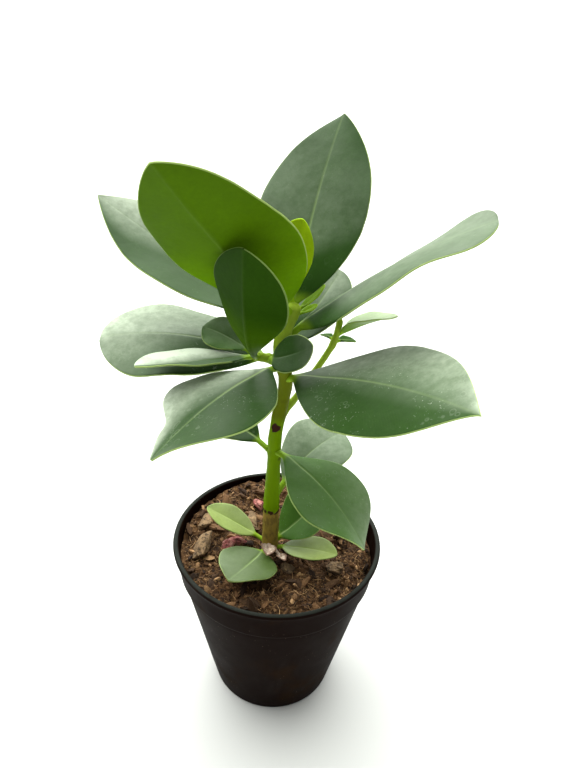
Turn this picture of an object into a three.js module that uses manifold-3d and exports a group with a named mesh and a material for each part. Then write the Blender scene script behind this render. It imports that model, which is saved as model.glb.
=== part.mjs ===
// A young clusia growing in a round nursery pot.
// Millimetres, +Z up. The origin is the middle of the pot's underside.
// Headings are degrees anticlockwise from +X seen from above, and rises are degrees above level.
import * as THREE from "three";
import { mergeVertices } from "three/addons/utils/BufferGeometryUtils.js";
import Module from "manifold-3d";

// Pot
const potHeight = 93;
const rimRadius = 52.5;
const footRadius = 33;
const wallThickness = 1.2;
const collarHeight = 17;
const collarStep = 1.4;
const lipRadius = 1.4;
const potSides = 44;
const drainHoleRadius = 3.5;
const drainHoleCount = 6;

// Soil
const soilHeight = 83;
const soilBackRise = 7;
const soilSideSlope = 0.05;
const soilBump = 0.7;

// Plant
const contactGap = 0.3;
const stemFootRadius = 4.1;
const stemRadius = 3.2;
const shootRadius = 2;
const twigRadius = 1.5;
const bladeThickness = 1.3;

const radians = THREE.MathUtils.degToRad;
const lerp = THREE.MathUtils.lerp;
const smoothstep = THREE.MathUtils.smoothstep;
const clamp = THREE.MathUtils.clamp;

const wasm = await Module();
wasm.setup();

// ---- Closed solids ----

function solidOf(geometry) {
  const bare = geometry.clone();
  bare.deleteAttribute("normal");
  bare.deleteAttribute("uv");
  const merged = mergeVertices(bare, 1e-3);
  return new wasm.Manifold(
    new wasm.Mesh({
      numProp: 3,
      vertProperties: merged.getAttribute("position").array,
      triVerts: new Uint32Array(merged.index.array),
    }),
  );
}

function geometryOf(solid) {
  const mesh = solid.getMesh();
  const geometry = new THREE.BufferGeometry();
  geometry.setAttribute("position", new THREE.BufferAttribute(mesh.vertProperties, 3));
  geometry.setIndex(new THREE.BufferAttribute(mesh.triVerts, 1));
  return geometry;
}

// A skin over equal rings of points, closed at both ends by a ladder of faces
// between the points that face each other across the ring.
function skin(rings) {
  const count = rings[0].length;
  const faces = [];
  const wall = (a, b, c, d) => faces.push(a, b, d, a, d, c);
  for (let s = 0; s + 1 < rings.length; s++) {
    for (let k = 0; k < count; k++) {
      const a = s * count + k;
      const b = s * count + ((k + 1) % count);
      wall(a, b, a + count, b + count);
    }
  }
  const endCap = (first, turned) => {
    const face = (a, b, c) => (turned ? faces.push(a, c, b) : faces.push(a, b, c));
    for (let k = 0; k < count / 2; k++) {
      const top = first + k;
      const nextTop = first + k + 1;
      const bottom = first + ((count - k) % count);
      const nextBottom = first + count - k - 1;
      if (top !== bottom) face(top, nextTop, bottom);
      if (nextTop !== nextBottom) face(nextTop, nextBottom, bottom);
    }
  };
  endCap(0, true);
  endCap((rings.length - 1) * count, false);
  const geometry = new THREE.BufferGeometry();
  geometry.setAttribute(
    "position",
    new THREE.Float32BufferAttribute(rings.flat().flatMap((p) => [p.x, p.y, p.z]), 3),
  );
  geometry.setIndex(faces);
  return geometry;
}

// ---- Stems ----

const point = (x, y, z) => new THREE.Vector3(x, y, z);

// The main stem's centreline, from inside the soil to the growing tip.
const mainStem = {
  path: [
    point(-3.5, 0, 64),
    point(-3.5, 0, 83),
    point(-3.6, 0, 107),
    point(-3, 0, 140),
    point(-3, 0, 150),
    point(-2, 0, 160),
    point(0, 0, 172),
    point(1.2, 0, 181),
    point(0, 0, 189),
    point(-2.4, 0, 200),
    point(0.4, 0, 209),
    point(3.4, 0, 217),
  ],
  radiusAt: (height) => lerp(stemFootRadius, stemRadius, smoothstep(height, 90, 150)),
};

// The short side shoot to the left, from the main stem outwards.
const leftShoot = {
  path: [point(-1, 0, 191), point(-7, -3, 193.8), point(-13, -6, 196.2)],
  radiusAt: () => shootRadius,
};

// The thin twig that climbs behind the plant on the right.
const rightTwig = {
  path: [
    point(0.5, 1, 164),
    point(9, 8, 174),
    point(16, 13, 183.5),
    point(22.5, 17, 194),
    point(24.5, 19, 204),
  ],
  radiusAt: () => twigRadius,
};

// A point on the main stem at a height, by straight steps between its points.
function stemPointAtHeight(height) {
  const { path } = mainStem;
  const upper = clamp(path.filter((p) => p.z < height).length, 1, path.length - 1);
  const lower = path[upper - 1];
  return lower.clone().lerp(path[upper], (height - lower.z) / (path[upper].z - lower.z));
}

// A point on a shoot at a distance along it.
function shootPointAtDistance(shoot, distance) {
  let left = distance;
  for (let i = 0; i + 1 < shoot.path.length; i++) {
    const span = shoot.path[i].distanceTo(shoot.path[i + 1]);
    const last = i + 2 === shoot.path.length;
    if (left <= span || last) {
      return shoot.path[i].clone().lerp(shoot.path[i + 1], Math.min(left / span, 1));
    }
    left -= span;
  }
}

// Round rings along a smooth curve through the path's points.
function stemGeometry(stem, steps, sides, extraRadius = 0) {
  const curve = new THREE.CatmullRomCurve3(stem.path, false, "centripetal");
  const rings = [];
  for (let s = 0; s <= steps; s++) {
    const centre = curve.getPointAt(s / steps);
    const along = curve.getTangentAt(s / steps);
    const across = new THREE.Vector3(1, 0, 0).addScaledVector(along, -along.x).normalize();
    const behind = along.clone().cross(across);
    const radius = stem.radiusAt(centre.z) + extraRadius;
    const ring = [];
    for (let k = 0; k < sides; k++) {
      const angle = (2 * Math.PI * k) / sides;
      ring.push(
        centre
          .clone()
          .addScaledVector(across, radius * Math.cos(angle))
          .addScaledVector(behind, radius * Math.sin(angle)),
      );
    }
    rings.push(ring);
  }
  return skin(rings);
}

// ---- Leaves ----

// A leaf grows from its stem in a heading and rises from the level. Its heading turns by sweep
// and its rise goes to tipRise on the way to the tip. It leans by roll, plus twist towards the
// tip, plus wave at half length. Its outline widens by the power base and narrows by the power
// point, and its two halves rise from the midrib by fold, or tipFold at the tip.
const leafHabit = {
  sweep: 0,
  twist: 0,
  wave: 0,
  base: 0.85,
  point: 0.6,
  fold: 12,
  tipFold: 5,
};

const leaves = [
  // The two at the crown, and the young ones that open between them
  {
    name: "leaf_crown_left", node: 214, heading: 239, sweep: -3, rise: 37, tipRise: 47,
    roll: -31, wave: 7, stalk: 7.5, blade: 92, width: 49, base: 0.75, point: 0.8, tipFold: 10,
  },
  {
    name: "leaf_crown_back", node: 214, heading: 67, sweep: -2, rise: 73, tipRise: 45, roll: -6,
    twist: 15, wave: -4, stalk: 3.5, blade: 83, width: 46.5, point: 0.9, tipFold: 0,
  },
  {
    name: "leaf_heart", node: 217.5, heading: 150, rise: 77, tipRise: 114, roll: 37, twist: 33,
    stalk: 3, blade: 33, width: 17.5, fold: 25, tipFold: 21,
  },
  {
    name: "leaf_heart_right", node: 214, heading: 27, rise: 26, tipRise: 49, roll: 0, twist: 12,
    stalk: 2.5, blade: 14.5, width: 6.5,
  },
  {
    name: "leaf_heart_bud", node: 212.2, heading: 33, rise: 4, tipRise: 24, roll: -7,
    stalk: 3.5, blade: 9, width: 4,
  },
  // The pair below the crown
  {
    name: "leaf_long_right", node: 202.5, heading: 11, sweep: -30, rise: 43, tipRise: 26,
    roll: -13, wave: 23, stalk: 7.5, blade: 89, width: 47.5, base: 0.75, point: 0.45, fold: -19,
    tipFold: 3,
  },
  {
    name: "leaf_far_left", node: 207, heading: 161, rise: 27, tipRise: 29, roll: 11, twist: 17,
    stalk: 8, blade: 88.5, width: 43.5, base: 0.9, point: 1, fold: 15,
  },
  // The four at middle height
  {
    name: "leaf_back_right", node: 197.5, heading: 52, rise: 23, tipRise: 40, roll: -10,
    stalk: 2.5, blade: 45.5, width: 28, base: 0.75, tipFold: 9,
  },
  {
    name: "leaf_mid_left", node: 188.5, heading: 170, sweep: 11, rise: 22.5, tipRise: -13,
    roll: 21, twist: 3, wave: -10, stalk: 8.5, blade: 73, width: 50, base: 0.8, point: 0.52,
    fold: -9, tipFold: -6,
  },
  {
    name: "leaf_front_left", node: 188.5, heading: 245, sweep: -22, rise: 23, tipRise: -35,
    roll: -6, twist: -27, wave: 16, stalk: 9.5, blade: 69.5, width: 48.5, base: 1.25,
    point: 0.9, fold: -7, tipFold: 1,
  },
  {
    name: "leaf_front_right", node: 184.5, heading: -40, sweep: -22, rise: 23, tipRise: 10,
    roll: -8, twist: -24, wave: -3, stalk: 2.5, blade: 97, width: 53, base: 1.05, point: 1.15,
    fold: -5, tipFold: -5,
  },
  // The pair halfway down the stem, and the single one below it
  {
    name: "leaf_low_right", node: 144.5, heading: -40, sweep: -9, rise: 1, tipRise: -45,
    roll: 8, twist: 29, wave: -22, stalk: 4.5, blade: 57.5, width: 40.5, base: 1.15,
    point: 0.85, fold: -5, tipFold: 9,
  },
  {
    name: "leaf_low_left", node: 143, heading: 158, rise: 39, tipRise: -2, roll: 13, twist: 5,
    stalk: 8, blade: 39, width: 27.5,
  },
  {
    name: "leaf_low_back", node: 115, heading: 39, rise: 58, tipRise: -3, roll: -7, twist: -6,
    stalk: 9.5, blade: 42, width: 35.5, base: 0.9, point: 0.55,
  },
  // The ring of small ones at the soil
  {
    name: "leaf_base_back", node: 87, heading: 16, sweep: 2, rise: 43, tipRise: 40, roll: -10,
    twist: -7, stalk: 4.5, blade: 32.5, width: 29.5, fold: 16, tipFold: 12,
  },
  {
    name: "leaf_base_left", node: 87, heading: 169, rise: 33, tipRise: 21, roll: 10, stalk: 7,
    blade: 28.5, width: 15.5, base: 0.8, point: 0.7, tipFold: 13,
  },
  {
    name: "leaf_base_front", node: 86, heading: 242, sweep: -4, rise: 9, tipRise: 13, roll: 9,
    twist: -9, wave: -4, stalk: 5.5, blade: 30, width: 30, base: 0.65, point: 0.75, fold: 3,
    tipFold: 11,
  },
  {
    name: "leaf_base_right", node: 85, heading: -23, rise: 25, tipRise: 4, roll: -6, stalk: 5.5,
    blade: 30, width: 16, base: 0.75, point: 0.65, fold: 9, tipFold: 10,
  },
  // On the left shoot, where node is the distance along it
  {
    name: "shoot_leaf_front", shoot: leftShoot, node: 12.8, heading: 262, sweep: 12, rise: 28,
    tipRise: 78, roll: 3, twist: 34, wave: 3, stalk: 5, blade: 71, width: 31.5, base: 1.55,
    point: 0.7, fold: 32, tipFold: 11,
  },
  {
    name: "shoot_leaf_round", shoot: leftShoot, node: 8, heading: -33, sweep: 6, rise: 21,
    tipRise: 38, roll: -42, twist: -21, stalk: 2, blade: 22, width: 16.5, base: 0.55,
    tipFold: 1,
  },
  {
    name: "shoot_leaf_left", shoot: leftShoot, node: 14.3, heading: 203, rise: 3, tipRise: 4,
    roll: 0, twist: -12, stalk: 2, blade: 46.5, width: 21.5, point: 0.55, fold: 11, tipFold: 14,
  },
  {
    name: "shoot_leaf_back", shoot: leftShoot, node: 12.5, heading: 157, rise: 34, tipRise: 3,
    roll: 18, twist: 12, stalk: 4.5, blade: 22.5, width: 17.5, base: 0.9, point: 0.65,
    tipFold: 1,
  },
  // On the twig, where node is the distance along it
  {
    name: "twig_leaf_folded", shoot: rightTwig, node: 44, heading: -12, rise: 36, tipRise: 15,
    roll: 11, twist: -8, stalk: 2, blade: 26.5, width: 16, base: 0.6, point: 0.75, fold: 39,
  },
  {
    name: "twig_leaf_right", shoot: rightTwig, node: 40.5, heading: 30, rise: 2, tipRise: -18,
    roll: -2, stalk: 1.5, blade: 9.5, width: 7.5, fold: 15, tipFold: 7,
  },
  {
    name: "twig_leaf_left", shoot: rightTwig, node: 40.5, heading: 128, rise: 13, tipRise: -12,
    roll: -7, stalk: 1.5, blade: 6, width: 6.5, fold: 14, tipFold: 7,
  },
];

// Where a leaf's stalk starts: half a radius off its stem's centreline, towards its heading.
function leafStart(leaf) {
  const centre = leaf.shoot ? shootPointAtDistance(leaf.shoot, leaf.node) : stemPointAtHeight(leaf.node);
  const reach = (leaf.shoot ?? mainStem).radiusAt(centre.z) / 2;
  const heading = radians(leaf.heading);
  return centre.add(point(reach * Math.cos(heading), reach * Math.sin(heading), 0));
}

// The directions along, left of and above a leaf at a share of its length.
function leafDirections(leaf, share) {
  const heading = radians(leaf.heading + leaf.sweep * share);
  const rise = radians(lerp(leaf.rise, leaf.tipRise, share));
  const lean = radians(leaf.roll + leaf.twist * share + leaf.wave * Math.sin(Math.PI * share));
  const along = point(
    Math.cos(rise) * Math.cos(heading),
    Math.cos(rise) * Math.sin(heading),
    Math.sin(rise),
  );
  const level = point(-Math.sin(heading), Math.cos(heading), 0);
  const raised = along.clone().cross(level);
  const left = level.clone().multiplyScalar(Math.cos(lean)).addScaledVector(raised, -Math.sin(lean));
  const above = raised.multiplyScalar(Math.cos(lean)).addScaledVector(level, Math.sin(lean));
  return { along, left, above };
}

// The ten points round a leaf at one station: both edges, and four columns above and below.
function leafRing(leaf, centre, share, bladeShare) {
  const { left, above } = leafDirections(leaf, share);
  const widest = leaf.base / (leaf.base + leaf.point);
  const outline =
    (leaf.width / 2) *
    (bladeShare / widest) ** leaf.base *
    ((1 - bladeShare) / (1 - widest)) ** leaf.point;
  const stalkHalf = 0.8 + 0.0225 * leaf.width;
  const half = Math.hypot(outline, stalkHalf * (1 - bladeShare));
  const rib = Math.min(0.7, (0.7 * stalkHalf * (1 - 0.7 * bladeShare)) / half);
  const columns = [1, (1 + rib) / 2, rib, -rib, -(1 + rib) / 2, -1];
  const rise = radians(lerp(leaf.fold, leaf.tipFold, bladeShare));
  const blend = smoothstep(bladeShare, 0, 0.25);
  const bladeHalf = (Math.min(bladeThickness, 0.7 + 0.03 * leaf.width) / 2) * (1 - 0.3 * bladeShare);
  const ribDepth = 0.35 * stalkHalf * (1 - bladeShare);
  const place = (column, side) => {
    const round = Math.sqrt(1 - column * column);
    const ribExtra = side < 0 && Math.abs(column) <= rib ? ribDepth : 0;
    const thick = lerp(0.7 * stalkHalf * round, bladeHalf * Math.sqrt(round) + ribExtra, blend);
    const lift = Math.abs(column) * half * Math.sin(rise) + side * thick;
    return centre
      .clone()
      .addScaledVector(left, column * half * Math.cos(rise))
      .addScaledVector(above, lift);
  };
  const top = columns.map((column) => place(column, 1));
  const bottom = columns.slice(1, -1).reverse().map((column) => place(column, -1));
  return [...top, ...bottom];
}

function leafGeometry(leaf) {
  const length = leaf.stalk + leaf.blade;
  const stalkShare = leaf.stalk / length;
  const stations = leaf.blade > 20 ? 11 : 7;
  const tipShare = 0.997;
  const bladeShares = [];
  for (let k = 0; k <= stations; k++) {
    bladeShares.push((tipShare * (1 - Math.cos((Math.PI * k) / stations))) / 2);
  }
  const shares = [0, ...bladeShares.map((b) => stalkShare + b * (1 - stalkShare))];
  const rings = [];
  const centre = leafStart(leaf);
  const fineSteps = 24;
  shares.forEach((share, i) => {
    const from = i ? shares[i - 1] : 0;
    for (let f = 0; f < fineSteps; f++) {
      const middle = lerp(from, share, (f + 0.5) / fineSteps);
      centre.addScaledVector(leafDirections(leaf, middle).along, (length * (share - from)) / fineSteps);
    }
    rings.push(leafRing(leaf, centre, share, i ? bladeShares[i - 1] : 0));
  });
  return skin(rings);
}

// ---- Pot and soil ----

// A solid of revolution about +Z. The profile's points are [radius, height].
function turned(profile, sides) {
  const lathe = new THREE.LatheGeometry(profile.map(([r, z]) => new THREE.Vector2(r, z)), sides);
  return lathe.rotateX(Math.PI / 2);
}

const collarFoot = potHeight - collarHeight;
const bodyTopRadius = rimRadius - lipRadius - collarStep - 1.6;

// The inside of the pot's wall, by height.
function innerRadiusAt(height) {
  if (height > collarFoot) {
    const collarInner = rimRadius - lipRadius - wallThickness;
    return lerp(collarInner - 1, collarInner, (height - collarFoot) / collarHeight);
  }
  return lerp(footRadius, bodyTopRadius, height / collarFoot) - wallThickness;
}

function potGeometry() {
  const lipCentre = rimRadius - lipRadius;
  const lip = [-60, 0, 60, 120, 180].map((angle) => [
    lipCentre + lipRadius * Math.cos(radians(angle)),
    potHeight - lipRadius + lipRadius * Math.sin(radians(angle)),
  ]);
  const profile = [
    [0, 0],
    [footRadius - 2, 0],
    [footRadius, 2],
    [bodyTopRadius, collarFoot - 1],
    [bodyTopRadius + collarStep, collarFoot + 0.4],
    [lipCentre, potHeight - 2.2 * lipRadius],
    ...lip,
    [innerRadiusAt(potHeight - 2 * lipRadius), potHeight - 2 * lipRadius],
    [innerRadiusAt(collarFoot + 1), collarFoot + 1],
    [innerRadiusAt(collarFoot - 1), collarFoot - 1],
    [innerRadiusAt(3), 3],
    [innerRadiusAt(2) - 1.5, wallThickness],
    [0, wallThickness],
  ];
  let pot = solidOf(turned(profile, potSides));
  for (let k = 0; k < drainHoleCount; k++) {
    const angle = (2 * Math.PI * (k + 0.5)) / drainHoleCount;
    const hole = new THREE.CylinderGeometry(drainHoleRadius, drainHoleRadius, 6 * wallThickness, 12);
    hole.rotateX(Math.PI / 2);
    hole.translate(0.7 * footRadius * Math.cos(angle), 0.7 * footRadius * Math.sin(angle), 0);
    pot = pot.subtract(solidOf(hole));
  }
  return geometryOf(pot);
}

// The soil's surface: level round the stem, higher at the back, and lower towards +X.
function soilSurfaceAt(x, y) {
  const back = soilBackRise * clamp(y / innerRadiusAt(soilHeight), 0, 1) ** 1.5;
  const bumps = Math.sin(0.31 * x + 1.3) * Math.cos(0.27 * y) + Math.sin(0.17 * x - 0.23 * y);
  return soilHeight + back - soilSideSlope * x + soilBump * bumps;
}

function soilGeometry() {
  const edge = innerRadiusAt(soilHeight) - 1.2;
  const topShares = [1, 0.86, 0.7, 0.54, 0.38, 0.22, 0.1, 0];
  const profile = [
    [0, wallThickness + contactGap],
    [innerRadiusAt(2) - 3, wallThickness + contactGap],
    [innerRadiusAt(4) - contactGap - 0.3, 4],
    [innerRadiusAt(collarFoot - 2) - contactGap - 0.3, collarFoot - 2],
    ...topShares.map((share) => [edge * share, soilHeight]),
  ];
  const soil = turned(profile, potSides);
  const position = soil.getAttribute("position");
  for (let i = 0; i < position.count; i++) {
    if (position.getZ(i) > soilHeight - 0.5) {
      position.setZ(i, soilSurfaceAt(position.getX(i), position.getY(i)));
    }
  }
  return soil;
}

// A lump: a ball of flat faces, stretched and made uneven, then set into the soil's surface.
function lumpGeometry({ at, size, turn, uneven }, grow = 0) {
  const ball = new THREE.IcosahedronGeometry(1, 1);
  const lump = mergeVertices(ball.deleteAttribute("normal").deleteAttribute("uv"));
  const position = lump.getAttribute("position");
  for (let i = 0; i < position.count; i++) {
    const p = new THREE.Vector3().fromBufferAttribute(position, i);
    p.multiplyScalar(1 + uneven * Math.sin(5 * p.x + 3 * p.y + 7 * p.z));
    position.setXYZ(i, p.x, p.y, p.z);
  }
  lump.scale(size[0] / 2 + grow, size[1] / 2 + grow, size[2] / 2 + grow);
  lump.rotateZ(radians(turn));
  lump.translate(at[0], at[1], soilSurfaceAt(at[0], at[1]) + 0.15 * size[2]);
  return lump;
}

const lumps = [
  { name: "stone_pink_left", at: [-21.5, 0], size: [13, 8, 6], turn: 10, uneven: 0.12 },
  { name: "stone_pink_back", at: [-11.5, 29], size: [6, 9, 6], turn: 20, uneven: 0.12 },
  { name: "bark_left_front", at: [-38.5, -4], size: [8, 20, 7], turn: -12, uneven: 0.15 },
  { name: "bark_left_back", at: [-38.5, 15], size: [6, 16, 5], turn: -8, uneven: 0.15 },
  { name: "bark_middle", at: [-14.5, 17], size: [5, 14, 4.5], turn: 25, uneven: 0.15 },
  { name: "bark_front", at: [6, -14], size: [8, 7, 5], turn: 15, uneven: 0.12 },
  { name: "bark_right", at: [29.5, -13], size: [8, 9, 6], turn: 35, uneven: 0.18 },
];

// The dry papery scales left in front of the stem's foot, cupped like small boats.
const scaleHabit = { ...leafHabit, fold: 35, tipFold: 15 };
const scales = [
  {
    name: "husk_left", node: 89.5, heading: 266, rise: -5, tipRise: 15, roll: 10,
    stalk: 2.5, blade: 8.5, width: 9,
  },
  {
    name: "husk_front", node: 85, heading: 297, rise: 3, tipRise: 25, roll: 12,
    stalk: 7, blade: 7.5, width: 6,
  },
];

// ---- The assembly ----

const finish = (color, roughness) => new THREE.MeshStandardMaterial({ color, roughness, metalness: 0 });

const finishes = {
  pot: () => finish(0x1d1715, 0.5),
  soil: () => finish(0x3b2a1e, 0.95),
  stem: () => finish(0x5f7a1e, 0.5),
  leaf: () => finish(0x3f6a33, 0.4),
  youngLeaf: () => finish(0x8fae4a, 0.4),
  stone: () => finish(0x8d5c55, 0.8),
  bark: () => finish(0x6b5140, 0.9),
  husk: () => finish(0xcfc3b4, 0.7),
};

const plant = new THREE.Group();

function addPiece(name, geometry, material) {
  const mesh = new THREE.Mesh(geometry, material);
  mesh.name = name;
  plant.add(mesh);
}

const mainSides = 12;
const shootSides = 10;
const mainStemSolid = solidOf(stemGeometry(mainStem, 16, mainSides));
const mainStemGrown = solidOf(stemGeometry(mainStem, 16, mainSides, contactGap));
const shoots = [
  { name: "left_shoot", stem: leftShoot, steps: 4 },
  { name: "right_twig", stem: rightTwig, steps: 8 },
];
const shootSolids = shoots.map(({ stem, steps }) =>
  solidOf(stemGeometry(stem, steps, shootSides)).subtract(mainStemGrown),
);
const shootsGrown = shoots.map(({ stem, steps }) =>
  solidOf(stemGeometry(stem, steps, shootSides, contactGap)),
);

addPiece("pot", potGeometry(), finishes.pot());
addPiece("main_stem", geometryOf(mainStemSolid), finishes.stem());
shoots.forEach(({ name }, i) => addPiece(name, geometryOf(shootSolids[i]), finishes.stem()));

// Each stalk and scale stops a gap short of the stem and shoots that it grows beside.
function trimmed(geometry) {
  const stems = [mainStemGrown, ...shootsGrown];
  return stems.reduce((solid, stem) => solid.subtract(stem), solidOf(geometry));
}

const youngNames = [
  "leaf_heart",
  "leaf_heart_right",
  "leaf_heart_bud",
  "leaf_base_left",
  "leaf_base_right",
  "twig_leaf_folded",
];
for (const leaf of leaves) {
  const material = youngNames.includes(leaf.name) ? finishes.youngLeaf() : finishes.leaf();
  addPiece(leaf.name, geometryOf(trimmed(leafGeometry({ ...leafHabit, ...leaf }))), material);
}

let soilSolid = solidOf(soilGeometry()).subtract(mainStemGrown);
for (const lump of lumps) {
  soilSolid = soilSolid.subtract(solidOf(lumpGeometry(lump, contactGap)));
  const material = lump.name.startsWith("stone") ? finishes.stone() : finishes.bark();
  addPiece(lump.name, lumpGeometry(lump), material);
}
for (const scale of scales) {
  addPiece(scale.name, geometryOf(trimmed(leafGeometry({ ...scaleHabit, ...scale }))), finishes.husk());
}
addPiece("soil", geometryOf(soilSolid), finishes.soil());

export default plant;
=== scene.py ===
import math

import bpy
import numpy as np
from bpy.props import FloatProperty, FloatVectorProperty, IntProperty, PointerProperty
from bpy.types import Operator, Panel, PropertyGroup
from mathutils import Matrix, Vector


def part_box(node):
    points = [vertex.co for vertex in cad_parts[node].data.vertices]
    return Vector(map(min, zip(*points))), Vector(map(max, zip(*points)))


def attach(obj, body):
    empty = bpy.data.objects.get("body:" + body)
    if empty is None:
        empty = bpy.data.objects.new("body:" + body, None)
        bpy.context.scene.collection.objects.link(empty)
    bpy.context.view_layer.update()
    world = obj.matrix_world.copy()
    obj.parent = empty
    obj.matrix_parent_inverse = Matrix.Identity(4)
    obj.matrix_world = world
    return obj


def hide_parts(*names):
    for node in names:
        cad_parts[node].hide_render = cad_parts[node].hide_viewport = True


bl_info = {
    "name": "Potted Clusia",
    "version": (1, 0, 0),
    "blender": (4, 5, 0),
    "location": "View3D > Sidebar > Clusia",
    "description": "Grows a young clusia in a nursery pot around its solid model",
    "category": "Add Mesh",
}

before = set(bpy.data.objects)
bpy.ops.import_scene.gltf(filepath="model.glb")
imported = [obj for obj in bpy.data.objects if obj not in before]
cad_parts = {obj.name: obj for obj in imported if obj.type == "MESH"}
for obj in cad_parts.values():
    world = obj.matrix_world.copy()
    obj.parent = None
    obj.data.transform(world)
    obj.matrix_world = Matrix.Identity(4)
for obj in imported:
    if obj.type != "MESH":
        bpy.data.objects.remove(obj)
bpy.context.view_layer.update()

MM = 0.001
BODY = "root"


# ---- Sizes and colours ----


def srgb(red, green, blue):
    """A colour's linear values from its eight-bit ones: the display curve is undone."""
    share = np.array([red, green, blue]) / 255
    return tuple(np.where(share > 0.04045, ((share + 0.055) / 1.055) ** 2.4, share / 12.92))


def length(name, description, default):
    return FloatProperty(
        name=name, description=description, default=default, subtype="DISTANCE", unit="LENGTH")


def hue(name, description, default):
    return FloatVectorProperty(
        name=name, description=description, default=default, subtype="COLOR", size=3, min=0.0, max=1.0)


class ClusiaPot(PropertyGroup):
    wall: length("Wall", "Thickness of the plastic", 0.0012)
    foot_radius: length("Foot radius", "Outside, at the foot", 0.033)
    lip_radius: length("Lip radius", "Of the round bead", 0.0014)
    collar: length("Collar height", "From its step to the top", 0.017)
    step: length("Collar step", "How far it stands out", 0.0014)
    hole_radius: length("Hole radius", "Of a drain hole", 0.0035)
    holes: IntProperty(name="Holes", description="Drain holes in the base", default=6, min=3)
    plastic: hue("Plastic", "Pot colour", srgb(18, 7, 4))
    smudge: hue("Smudge", "Soil stains", srgb(46, 31, 16))
    # Painted highlight: the light grey top of the rim bead stands in for the window's reflection
    lip_highlight: hue("Lip highlight", "Rim bead colour", srgb(40, 42, 39))


class ClusiaSoil(PropertyGroup):
    height: length("Height", "At the stem", 0.083)
    back_rise: length("Back rise", "How much higher at the back", 0.007)
    slope: FloatProperty(name="Slope", description="Fall to the right, by length", default=0.05)
    bump: length("Bumps", "Height of the broad bumps", 0.0007)
    grain: length("Grain", "Height of the fine bumps", 0.0019)
    chips: IntProperty(name="Chips", description="Loose bark chips", default=900, min=0)
    crumbs: IntProperty(name="Crumbs", description="Loose fine crumbs", default=3000, min=0)
    fibres: IntProperty(name="Fibres", description="Loose fibres", default=1500, min=0)
    dark: hue("Dark", "Wet peat", srgb(40, 26, 17))
    middle: hue("Middle", "Most of the soil", srgb(96, 67, 41))
    pale: hue("Pale", "Dry chips", srgb(190, 150, 108))


class ClusiaStem(PropertyGroup):
    swelling: length("Swelling", "At a node", 0.00035)
    bark_height: length("Bark height", "Where brown turns green", 0.1096)
    bark: hue("Bark", "Brown foot", srgb(142, 119, 56))
    green: hue("Green", "Main stem", srgb(100, 132, 0))
    olive: hue("Olive", "Below the crown", srgb(84, 84, 8))
    young: hue("Young", "Crown and shoots", srgb(132, 156, 44))


class ClusiaLeaf(PropertyGroup):
    thickness: length("Thickness", "Of a blade", 0.001)
    margin: length("Margin", "Width of the pale edge", 0.0004)
    vein_gap: length("Vein gap", "Between side veins", 0.0016)
    upper: hue("Upper", "Upper side", srgb(32, 62, 9))
    lower: hue("Lower", "Under side", srgb(66, 96, 22))
    edge: hue("Edge", "Pale edge", srgb(164, 186, 108))
    rib: hue("Midrib", "Pale midrib", srgb(142, 164, 104))
    # Painted light: the lit-through colour laid on the base of a leaf's lower side
    glow: hue("Glow", "Lit-through base", srgb(108, 152, 3))
    stalk: hue("Stalk", "Leaf stalks", srgb(128, 162, 28))
    # Painted sheen: the pale haze colour that stands in for the bright window's reflection on the upper side
    painted_sheen: hue("Sheen", "Painted sheen", srgb(175, 186, 166))
    dust: hue("Dust", "Specks and marks", srgb(205, 214, 196))


class ClusiaStage(PropertyGroup):
    floor: hue("Floor", "Floor colour", (0.52, 0.52, 0.52))
    distance: length("Distance", "Camera to rim", 0.31604)
    elevation: FloatProperty(name="Elevation", description="Camera above rim, degrees", default=42.4)
    pan: FloatProperty(name="Pan", description="Turn to the right of the rim, degrees", default=1.0245)
    tilt: FloatProperty(name="Tilt", description="Turn above the rim, degrees", default=13.984)
    roll: FloatProperty(name="Roll", description="Turn about the view, degrees", default=-2.41)
    lens: FloatProperty(name="Lens", description="Focal length on a 36 mm film", default=28.125)
    key: FloatProperty(name="Key light", description="Soft light from behind, watts", default=2.8)
    fill: FloatProperty(name="Fill light", description="Soft light from the front, watts", default=1.6)
    sky: FloatProperty(name="Sky", description="Strength of the surroundings in front", default=0.2)
    window: FloatProperty(name="Window", description="Strength of the surroundings behind", default=6.9)
    backdrop: FloatProperty(name="Backdrop", description="How bright the camera sees them", default=1.3)


# ---- Meshes ----


def outward(points, faces):
    """Faces turned to face out: if the signed volume of their triangles is negative, all are reversed."""
    volume = 0.0
    for corners in faces:
        fans = [points[corners[:, [0, k, k + 1]]] for k in range(1, corners.shape[1] - 1)]
        volume += sum(np.einsum("ij,ij->", fan[:, 0], np.cross(fan[:, 1], fan[:, 2])) for fan in fans)
    return [corners[:, ::-1] for corners in faces] if volume < 0 else faces


def new_piece(name, points, faces, material, attributes=None, smooth=True):
    """A mesh object from points in millimetres and arrays of corner numbers, one for each face size."""
    mesh = bpy.data.meshes.new(name)
    turned = outward(points, [corners for corners in faces if len(corners)])
    mesh.from_pydata((points * MM).tolist(), [], [row for corners in turned for row in corners.tolist()])
    mesh.polygons.foreach_set("use_smooth", np.full(len(mesh.polygons), smooth))
    for key, values in (attributes or {}).items():
        layer = mesh.attributes.new(key, "FLOAT", "POINT")
        layer.data.foreach_set("value", np.asarray(values, np.float32).ravel())
    mesh.materials.append(material)
    mesh.update()
    piece = bpy.data.objects.new(name, mesh)
    bpy.context.scene.collection.objects.link(piece)
    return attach(piece, BODY)


def grid_faces(rows, columns):
    """Quads between closed rings, whose points are numbered ring by ring."""
    spot = np.arange(rows * columns).reshape(rows, columns)
    beside = np.roll(spot, -1, axis=1)
    return np.stack([spot[:-1], beside[:-1], beside[1:], spot[1:]], -1).reshape(-1, 4)


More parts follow.
